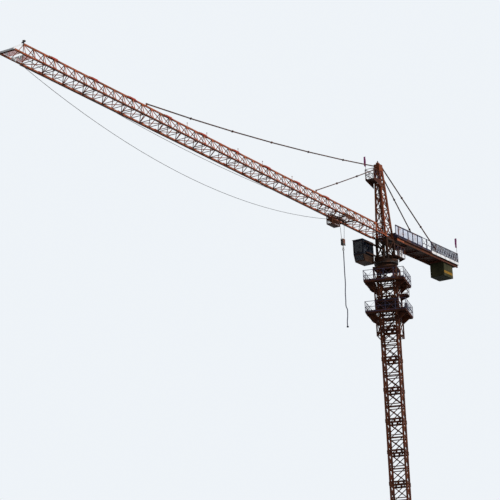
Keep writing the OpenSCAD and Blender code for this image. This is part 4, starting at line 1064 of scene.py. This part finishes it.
def add_head_details():
    piece("head_ladder", "slewing_part", "galvanised_grating",
          laid(LADDER, zinc, at(0.20, 0, JIB_Z + 0.02, 90), height=HEAD_WALK - JIB_Z - 0.03,
               width=0.16))
    side = HEAD_WALK_HALF - RAIL_D / 2
    walk = at(HEAD_WALK_X, 0, HEAD_WALK)
    sizes = {"height": RAIL_H - 0.07}
    parts = [laid(BRACES, rail_paint, walk @ at(0.03, y, 0.05), length=0.66, panels=2, **sizes)
             for y in (-side, side)]
    parts.append(laid(BRACES, rail_paint,
                      walk @ at(HEAD_WALK_L - RAIL_D / 2, 0.02 - side, 0.05, 90),
                      length=2 * side - 0.04, panels=1, **sizes))
    parts.append(laid(GRATING, zinc, walk @ at(0.02, 0.015 - side, 0.0285), length=0.66,
                      width=2 * side - 0.03))
    piece("head_platform_braces", "slewing_part", "blue_grey_paint", *parts)
    boards = Shape(walk)
    for y in (-side, side):
        boards.block((0.02, y - 0.003, 0.025), (HEAD_WALK_L - 0.005, y + 0.003, 0.095))
    piece("head_toe_boards", "slewing_part", "orange_red_paint", boards.mesh(cage_paint))
    lamp = Shape(at(0.23, 0, HEAD_TOP + 0.128))
    lamp.turned([(0.0001, 0), (0.030, 0), (0.030, 0.012), (0.024, 0.016), (0.026, 0.05),
                 (0.018, 0.07), (0.0001, 0.074)], 20)
    piece("head_lamp", "slewing_part", "dark_steel", lamp.mesh(trim, True))


add_head_details()


# Turret and cage side: gratings of the small platforms, braces of their rails, a cabinet

def add_platform_details():
    walk = at(-0.65, 0.3603, TABLE_TOP - 0.020)
    piece("turret_platform_grating", "slewing_part", "galvanised_grating",
          laid(GRATING, zinc, walk @ at(0.03, 0.015, 0.0045), length=0.92, width=0.25),
          laid(BRACES, rail_paint, walk @ at(0.02, 0.28, 0.03), length=0.94, panels=3))
    box = Shape(walk)
    box.block((0.04, 0.03, 0.010), (0.30, 0.19, 0.36), 0.006)
    box.block((0.03, 0.02, 0.355), (0.31, 0.20, 0.372), 0.003)
    box.block((0.06, 0.188, 0.04), (0.28, 0.196, 0.33), 0.003)
    box.block((0.25, 0.194, 0.17), (0.262, 0.212, 0.22), 0.003)
    for h in (0.07, 0.27):
        box.drum((0.052, 0.197, h), (0.052, 0.197, h + 0.03), 0.005)
    piece("turret_cabinet", "slewing_part", "white_paint", box.mesh(white_paint))
    side = MAST_FRAME @ at(-0.26, CAGE_HALF + 0.0003, SIDE_WALK)
    piece("side_platform_grating", "tower", "galvanised_grating",
          laid(GRATING, zinc, side @ at(0.01, 0.01, 0.0045), length=0.50, width=0.36),
          laid(BRACES, rail_paint, side @ at(0.02, 0.375, 0.02), length=0.48, height=0.34,
               panels=1))


add_platform_details()


# Cab: window seals, wiper, roof guard, door, handrails, seat and consoles

def add_cushion(name, low, high, turn=0.0):
    """A crowned pad with a sewn seam round its middle, its sides drawn in."""
    a, b = CAB + Vector(low), CAB + Vector(high)
    half = (b - a) / 2
    place = Matrix.Translation((a + b) / 2) @ Matrix.Rotation(turn, 4, "Y")
    rows, cols = 20, 40
    work = bmesh.new()
    lay = work.loops.layers.uv.new("lay")

    def soft(value, power):
        return math.copysign(abs(value) ** power, value)

    rings = []
    for j in range(1, rows):
        v = math.pi * j / rows - math.pi / 2
        wide = soft(math.cos(v), 0.35) * (0.94 if j == rows // 2 else 1.0)
        ring = []
        for i in range(cols):
            u = 2 * math.pi * i / cols
            pinch = wide * (1.0 - 0.05 * math.cos(2 * u) ** 2)
            ring.append(work.verts.new(place @ Vector((
                soft(math.cos(u), 0.35) * half[0] * pinch,
                soft(math.sin(u), 0.35) * half[1] * pinch, soft(math.sin(v), 0.6) * half[2]))))
        rings.append(ring)
    ends = [work.verts.new(place @ Vector((0, 0, s * half[2]))) for s in (-1, 1)]
    for i in range(cols):
        k = (i + 1) % cols
        for ring, after in zip(rings, rings[1:]):
            work.faces.new((ring[i], ring[k], after[k], after[i]))
        work.faces.new((ends[0], rings[0][k], rings[0][i]))
        work.faces.new((ends[1], rings[-1][i], rings[-1][k]))
    for face in work.faces:
        face.smooth = True
        for loop in face.loops:
            loop[lay].uv = loop.vert.co.xz
    pad = piece(name, "slewing_part", "sling_webbing", to_mesh(work, seat_cloth))


def surround(left, foot, right, top):
    """The four bars round a window, each by two opposite corners."""
    bar = 0.016
    return [((left, foot), (right, foot + bar)), ((left, top - bar), (right, top)),
            ((left, foot), (left + bar, top)), ((right - bar, foot), (right, top))]


def add_cab_outside():
    seals, door, roof = (Shape(Matrix.Translation(CAB)) for _ in range(3))
    for y in (-0.004, CAB_W + 0.004):
        for (x0, z0), (x1, z1) in (*surround(0.372, 0.362, 0.898, 0.898),
                                   ((0.630, 0.362), (0.644, 0.898))):
            seals.block((x0, y - 0.006, z0), (x1, y + 0.006, z1), 0.002)
    for (y0, z0), (y1, z1) in surround(0.040, 0.382, 0.480, 0.918):
        seals.block((CAB_L - 0.002, y0, z0), (CAB_L + 0.010, y1, z1), 0.002)
    seals.drum((CAB_L + 0.016, 0.26, 0.41), (CAB_L + 0.016, 0.33, 0.78), 0.005)
    seals.block((CAB_L + 0.006, 0.23, 0.385), (CAB_L + 0.024, 0.29, 0.42), 0.003)
    piece("cab_window_seals", "slewing_part", "cab_paint", seals.mesh(trim))
    for k in range(5):
        y = 0.06 + 0.10 * k
        door.block((CAB_L + 0.040, y - 0.004, 0.955), (CAB_L + 0.052, y + 0.004, 0.982))
    for z, y in product((0.12, 0.24, 0.36), (-0.008, CAB_W - 0.001)):
        door.block((0.06, y, z), (0.80, y + 0.009, z + 0.016), 0.003)
    door.block((-0.010, 0.07, 0.05), (0.001, 0.45, 0.92), 0.004)
    door.block((-0.016, 0.11, 0.50), (-0.008, 0.41, 0.86), 0.003)
    for z in (0.16, 0.48, 0.80):
        door.drum((-0.012, 0.068, z), (-0.012, 0.068, z + 0.05), 0.007, 10)
    door.tube([(-0.010, 0.40, 0.38), (-0.035, 0.40, 0.38), (-0.035, 0.40, 0.47),
               (-0.010, 0.40, 0.47)], 0.005)
    near, out = CAB_W + 0.001, CAB_W + 0.03
    door.tube([(0.18, near, 0.42), (0.18, out, 0.42), (0.18, out, 0.80), (0.18, near, 0.80)],
              0.006)
    piece("cab_door", "slewing_part", "cab_paint", door.mesh(cab_paint))
    for k in range(9):
        x = 0.05 + 0.11 * k
        roof.block((x - 0.012, 0.03, CAB_H + 0.014), (x + 0.012, CAB_W - 0.03, CAB_H + 0.026),
                   0.004)
    piece("cab_roof_ribs", "slewing_part", "cab_paint", roof.mesh(trim))


def add_cab_inside():
    add_cushion("seat_cushion", (0.27, 0.15, 0.235), (0.52, 0.37, 0.295))
    add_cushion("seat_back", (0.205, 0.15, 0.30), (0.265, 0.37, 0.60), -0.14)
    desk = Shape(Matrix.Translation(CAB))
    desk.turned([(0.0001, 0.025), (0.09, 0.025), (0.09, 0.035), (0.03, 0.05), (0.03, 0.21),
                 (0.09, 0.225), (0.09, 0.234), (0.0001, 0.234)], place=at(0.395, 0.26, 0))
    for y in (0.085, 0.435):
        desk.block((0.32, y - 0.04, 0.026), (0.56, y + 0.04, 0.36), 0.006)
        desk.drum((0.50, y, 0.36), (0.50, y, 0.43), 0.006, 10)
        desk.turned([(0.0001, 0), (0.012, 0.004), (0.014, 0.016), (0.008, 0.028), (0.0001, 0.03)],
                    14, at(0.50, y, 0.425))
    piece("cab_consoles", "slewing_part", "cab_paint", desk.mesh(trim))


add_cab_outside()
add_cab_inside()


# Trolley: side plates' stiffeners, axle nuts, sheave cheeks, basket infill

def add_trolley_details():
    frame_y = JIB_HALF + 0.076
    plates, nuts = Shape(TROLLEY_FRAME), []
    for sy in (-1, 1):
        near, far = sorted((sy * (frame_y + 0.016), sy * (frame_y + 0.028)))
        plates.block((-0.44, near, -0.118), (0.44, far, -0.092), 0.003)
        plates.block((-0.44, near, 0.028), (0.44, far, 0.048), 0.003)
        for k in range(5):
            s = 0.20 * k - 0.40
            plates.block((s - 0.006, near, -0.094), (s + 0.006, far, 0.030), 0.002)
        for sx in (-1, 1):
            plates.drum((sx * 0.45, sy * 0.36, SHEAVE_N), (sx * 0.482, sy * 0.36, SHEAVE_N), 0.020,
                        16, 0.013)
    for sx, t in product((-SHEAVE_AT, SHEAVE_AT), (-0.052, 0.040)):
        plates.turned([(0.014, 0), (0.05, 0), (0.05, 0.012), (0.014, 0.012)],
                      place=at(sx, t, SHEAVE_N, -90, "X"))
    piece("trolley_stiffeners", "trolley", "dark_steel", plates.mesh(trolley_paint))
    for s, t, n in ((0.33, frame_y + 0.017, 0.020), (SHEAVE_AT, 0.071, SHEAVE_N)):
        nuts += [(TROLLEY_FRAME @ Vector((sx * s, sy * t, n)), (0, sy, 0))
                 for sx, sy in product((-1, 1), (-1, 1))]
    piece("trolley_nuts", "trolley", "dark_steel", bolts(nuts, 0.016, 0.012))
    ropes = Shape()
    for sx in (-1, 1):
        centre = TROLLEY_FRAME @ Vector((sx * SHEAVE_AT, 0, SHEAVE_N))
        bend = arc(centre, (sx * SHEAVE_R, 0, 0), (0, 0, SHEAVE_R), 0, 90, 12)
        rise = SHEAVE_R - sx * SHEAVE_AT * math.tan(JIB_RISE)
        ropes.tube(bend + [centre + Vector((-sx * SHEAVE_AT, 0, rise))], ROPE / 2)
    piece("trolley_rope_bend", "trolley", "wire_rope", ropes.mesh(wire_rope))
    basket = TROLLEY_FRAME @ at(0.445, 0, -0.53)
    parts = [laid(WIRE_MESH, trolley_paint, basket @ at(0.02, t, 0), length=0.60)
             for t in (-0.138, 0.138)]
    parts += [laid(WIRE_MESH, trolley_paint, basket @ at(s, -0.13, 0, 90), length=0.26)
              for s in (0.012, 0.628)]
    parts.append(laid(GRATING, zinc, basket @ at(0.025, -0.125, 0.0075), length=0.59, width=0.25,
                      cross=0.08, deep=0.006))
    piece("basket_infill", "trolley", "dark_steel", *parts)


add_trolley_details()


# Hook block: sheave with its groove, rope round it, bolts, latch of the hook

def add_hook_details():
    wheel, hubs = Shape(Matrix.Translation(BLOCK)), Shape(Matrix.Translation(BLOCK))
    wheel.turned([(0.03, -0.029), (0.0905, -0.0292), (0.0995, -0.029), (0.0995, -0.022),
                  (0.0912, -0.010), (0.0912, 0.010), (0.0995, 0.022), (0.0995, 0.029),
                  (0.03, 0.029)], 48, at(0, 0, 0, 90, "X"))
    for sy in (-1, 1):
        wheel.block((-0.112, sy * 0.056 - 0.004, -0.172), (0.112, sy * 0.056 + 0.004, -0.145),
                    0.002)
        wheel.turned([(0.0001, 0), (0.045, 0), (0.045, 0.006), (0.03, 0.012), (0.0001, 0.012)],
                     place=at(0, sy * 0.050, 0, -sy * 90, "X"))
        hubs.turned([(0.048, 0), (0.078, 0), (0.078, 0.004), (0.048, 0.004)], 32,
                    at(0, sy * 0.0502, 0, -sy * 90, "X"))
        hubs.block((-0.111, sy * 0.052 - 0.002, 0.095), (0.111, sy * 0.052 + 0.002, 0.119), 0.001)
    piece("block_sheave", "hook_block", "dark_steel", wheel.mesh(dark_steel))
    piece("block_hub_rings", "hook_block", "dark_steel", hubs.mesh(jib_paint))
    bend = arc(BLOCK, (0.1, 0, 0), (0, 0, -0.1), 0, 180, 24)
    piece("block_rope_bend", "hook_block", "wire_rope",
          Shape().tube(bend, ROPE / 2).mesh(wire_rope))
    heads = [(BLOCK + Vector((x, sy * 0.0505, z)), (0, sy, 0))
             for sy, x, z in product((-1, 1), (-0.085, 0.085), (-0.12, 0.085))]
    piece("block_bolts", "hook_block", "dark_steel", bolts(heads))
    catch = Shape(Matrix.Translation(HOOK))
    catch.tube([(0, 0, 0.055), (0.030, 0, 0.035), (0.048, 0, 0.004)], 0.006)
    catch.turned([(0.0001, -0.016), (0.011, -0.016), (0.011, 0.016), (0.0001, 0.016)], 12,
                 at(0, 0, 0.055, 90, "X"))
    piece("hook_catch", "hook", "dark_steel", catch.mesh(bright_steel))


add_hook_details()


# Counter-jib: boards, mesh and frames of the rails, gussets, grating, bracing, lifting eyes

def post_x(k):
    return FIRST_POST - k * POST_GAP


def add_counter_jib_rails():
    rail = DECK_HALF - RAIL_D / 2
    low, high = 0.095, 0.525
    front, open_end, tail = post_x(5), post_x(7), 0.02 - CJIB_L
    slats, frames, nets = [], Shape(at(0, 0, FLOOR)), []
    for side in (-1, 1):
        out = side * (rail + 0.012)
        bays = [(post_x(k + 1), POST_GAP - 0.09, 3, 0.105) for k in range(5)]
        bays.append((post_x(0), LEAD - post_x(0) - 0.07, 2, 0.085))
        for x, length, count, wide in bays:
            slats.append(laid(PICKETS, pale_paint, at(x + 0.045, out, FLOOR + low),
                              length=length, count=count, height=high - low - 0.03, wide=wide))
        for x in map(post_x, range(8)):
            frames.block((x - 0.044, out - 0.006, 0), (x + 0.044, out + 0.006, high), 0.002)
        frames.block((LEAD - 0.025, out - 0.006, 0.02), (LEAD + 0.025, out + 0.006, high), 0.002)
        for foot, top in ((high - 0.045, high + 0.022), (0.060, 0.105)):
            frames.block((front, out - 0.007, foot), (LEAD, out + 0.007, top), 0.002)
        frames.block((tail, out - 0.006, high - 0.020), (front, out + 0.006, high + 0.012), 0.002)
        nets.append(laid(BRACES, rail_paint, at(open_end, side * rail, FLOOR + low),
                         length=front - open_end, panels=2, wire=0.006, height=high - low))
        nets.append(laid(WIRE_MESH, navy_paint, at(tail, side * (rail - 0.014), FLOOR + low),
                         length=open_end - tail, height=high - low, cell=0.046, wire=0.0055))
        nets.append(laid(BRACES, pale_paint, at(tail, out, FLOOR + low + 0.02),
                         length=post_x(8) - tail, panels=10, wire=0.0065,
                         height=high - low - 0.06))
    nets.append(laid(WIRE_MESH, pale_paint, at(tail + 0.004, 0.02 - rail, FLOOR + low, 90),
                     length=2 * rail - 0.04, height=high - low, cell=0.06, wire=0.004))
    piece("counter_jib_boards", "slewing_part", "white_paint", *slats)
    piece("counter_jib_board_frames", "slewing_part", "blue_grey_paint", frames.mesh(navy_paint))
    piece("counter_jib_mesh", "slewing_part", "blue_grey_paint", *nets)


def add_counter_jib_deck():
    gussets, heads = Shape(at(0, 0, JIB_Z)), []
    for sy in (-1, 1):
        y = sy * 0.434
        gussets.block((-1.05, y - 0.005, -0.035), (-0.40, y + 0.005, 0.068), 0.003)
        gussets.block((-0.62, y - 0.008, -0.040), (-0.39, y + 0.008, 0.074), 0.003)
        heads += [((x, sy * 0.44, JIB_Z + z), (0, sy, 0))
                  for x, z in product((-1.00, -0.90, -0.80, -0.70), (-0.015, 0.048))]
    piece("beam_gussets", "slewing_part", "orange_red_paint", gussets.mesh(jib_paint))
    piece("gusset_bolts", "slewing_part", "dark_steel", bolts(heads, 0.010))
    boards = Shape()
    for side, k in product((-1, 1), range(8, 14)):
        y = side * (DECK_HALF + 0.005)
        boards.block((post_x(k) + 0.012, y - 0.005, DECK - 0.012),
                     (post_x(k - 1) - 0.012, y + 0.005, FLOOR + 0.088), 0.002)
    boards.block((-CJIB_L - 0.009, -DECK_HALF, DECK - 0.012),
                 (-CJIB_L, DECK_HALF, FLOOR + 0.088), 0.002)
    piece("rear_edge_boards", "slewing_part", "white_paint", boards.mesh(white_paint))
    rail = DECK_HALF - RAIL_D / 2
    piece("counter_jib_grating", "slewing_part", "galvanised_grating",
          *[laid(GRATING, zinc, at(x0, 0.02 - rail, FLOOR + 0.0045), length=x1 - x0,
                 width=2 * rail - 0.04, pitch=0.034, cross=0.10)
            for x0, x1 in ((0.02 - CJIB_L, -5.99), (-5.02, -4.68), (-4.52, -JIB_FOOT - 0.03))])
    braces, inner = Shape(at(-0.6, 0, JIB_Z - 0.005)), 0.37
    for k in range(9):
        s = -inner if k % 2 else inner
        braces.tube([(-0.5 * k, s, 0), (-0.5 * (k + 1), -s, 0)], 0.011, 6)
    piece("deck_bracing", "slewing_part", "orange_red_paint", braces.mesh(beam_paint))
    eyes = Shape(at(SLAB_BACK + 0.145, 0, DECK))
    for k, y in product(range(3), (-0.26, 0.26)):
        x = 0.30 * k
        eyes.tube(arc((x, y, 0.07), (0, 0.045, 0), (0, 0, 0.075), 0, 180, 10), 0.008)
        eyes.block((x - 0.03, y - 0.06, 0.078), (x + 0.03, y + 0.06, 0.086), 0.002)
    piece("slab_eyes", "slewing_part", "dark_steel", eyes.mesh(dark_steel, True))


add_counter_jib_rails()
add_counter_jib_deck()


# Hoist winch: rope on the drum, motor with its fins, bolts, and the control cabinet

def add_winch_details():
    drum = at(DRUM_X, 0, FLOOR + 0.230, 90, "X")
    flanges = Shape(drum)
    for s in (-0.222, 0.222):
        flanges.turned([(0.148, 0), (0.19, 0), (0.19, 0.012), (0.148, 0.012)], 40,
                       at(0, 0, s - 0.006))
    piece("winch_rope", "slewing_part", "wire_rope",
          laid(WINDINGS, wire_rope, drum @ at(0, 0, -0.2), radius=0.158, length=0.40,
               rope=0.0085), flanges.mesh(dark_steel))
    axis = at(-2.41, -0.16, FLOOR + 0.35, -90, "X")
    motor = Shape(at(-2.41, 0, FLOOR))
    motor.turned([(0.0001, 0), (0.088, 0), (0.088, 0.02), (0.076, 0.03), (0.076, 0.25),
                  (0.084, 0.26), (0.084, 0.31), (0.06, 0.325), (0.0001, 0.325)], 28,
                 at(0, -0.16, 0.35, -90, "X"))
    motor.block((-0.04, 0.0, 0.42), (0.04, 0.10, 0.465), 0.005)
    motor.block((-0.06, -0.13, 0.255), (0.06, 0.13, 0.28), 0.004)
    piece("winch_motor", "slewing_part", "dark_steel", motor.mesh(grey_paint),
          laid(TEETH, grey_paint, axis @ at(0, 0, 0.14), radius=0.079, count=30,
               tooth=(0.014, 0.003, 0.20)))
    spots = [(x, y, 0.259) for x, y in product((-2.52, -2.30), (-0.18, 0.0, 0.18))]
    spots += [(x, y, 0.030) for x, y in product((-3.09, -2.75, -2.26), (-0.28, 0.28))]
    piece("winch_bolts", "slewing_part", "dark_steel",
          bolts([((x, y, FLOOR + z), (0, 0, 1)) for x, y, z in spots], 0.011))
    box = Shape(at(-1.62, -0.40, FLOOR))
    box.block((0, 0, 0.01), (0.40, 0.42, 0.50), 0.008)
    box.block((-0.01, -0.01, 0.495), (0.41, 0.43, 0.515), 0.003)
    for z in (0.1, 0.4):
        box.block((0.02, 0.42, z), (0.05, 0.432, z + 0.05), 0.002)
    box.block((0.34, 0.42, 0.22), (0.36, 0.44, 0.30), 0.003)
    for k in range(6):
        box.block((0.07, -0.015, 0.30 + 0.025 * k), (0.32, 0, 0.312 + 0.025 * k))
    piece("control_cabinet", "slewing_part", "blue_grey_paint", box.mesh(navy_paint))


add_winch_details()


# Light, floor and backdrop

def shown_directly(g):
    """1 where the camera, a reflection or glass shows it, 0 where it only lights."""
    rays = g.add("ShaderNodeLightPath", {})
    return (rays.out("Is Camera Ray") + rays.out("Is Transmission Ray")
            + rays.out("Is Glossy Ray")).clamp()


def add_stage():
    g = Finish("floor")
    pale = g.mix(g.noise(0.05, 3.0), (0.74, 0.75, 0.76), (0.80, 0.81, 0.82))
    material = g.done(g.mix(shown_directly(g), (0.26, 0.26, 0.26), pale), 0.85)
    work = bmesh.new()
    bmesh.ops.create_circle(work, cap_ends=True, segments=96, radius=400.0)
    floor = bpy.data.objects.new("floor", to_mesh(work, material))
    floor.location.z = -0.002
    scene.collection.objects.link(floor)
    for name, aim, strength, angle in (("key", (0.16, -0.78, -0.60), 3.4, 6.0),
                                       ("fill", (-0.80, -0.55, 0.10), 0.30, 50.0)):
        lamp = bpy.data.lights.new(name, "SUN")
        lamp.energy = strength
        lamp.angle = math.radians(angle)
        light = bpy.data.objects.new(name, lamp)
        light.rotation_euler = Vector(aim).to_track_quat("-Z", "Y").to_euler()
        scene.collection.objects.link(light)
    world = bpy.data.worlds.new("studio")
    world.use_nodes = True
    scene.world = world
    world.node_tree.nodes.clear()
    g = Graph(world.node_tree)
    shade = g.mix(shown_directly(g), (0.22, 0.24, 0.27), (0.86, 0.90, 0.94))
    g.add("ShaderNodeOutputWorld", {}, g.add("ShaderNodeBackground", {}, shade, 1.0))


add_stage()
scene.view_settings.view_transform = "Standard"
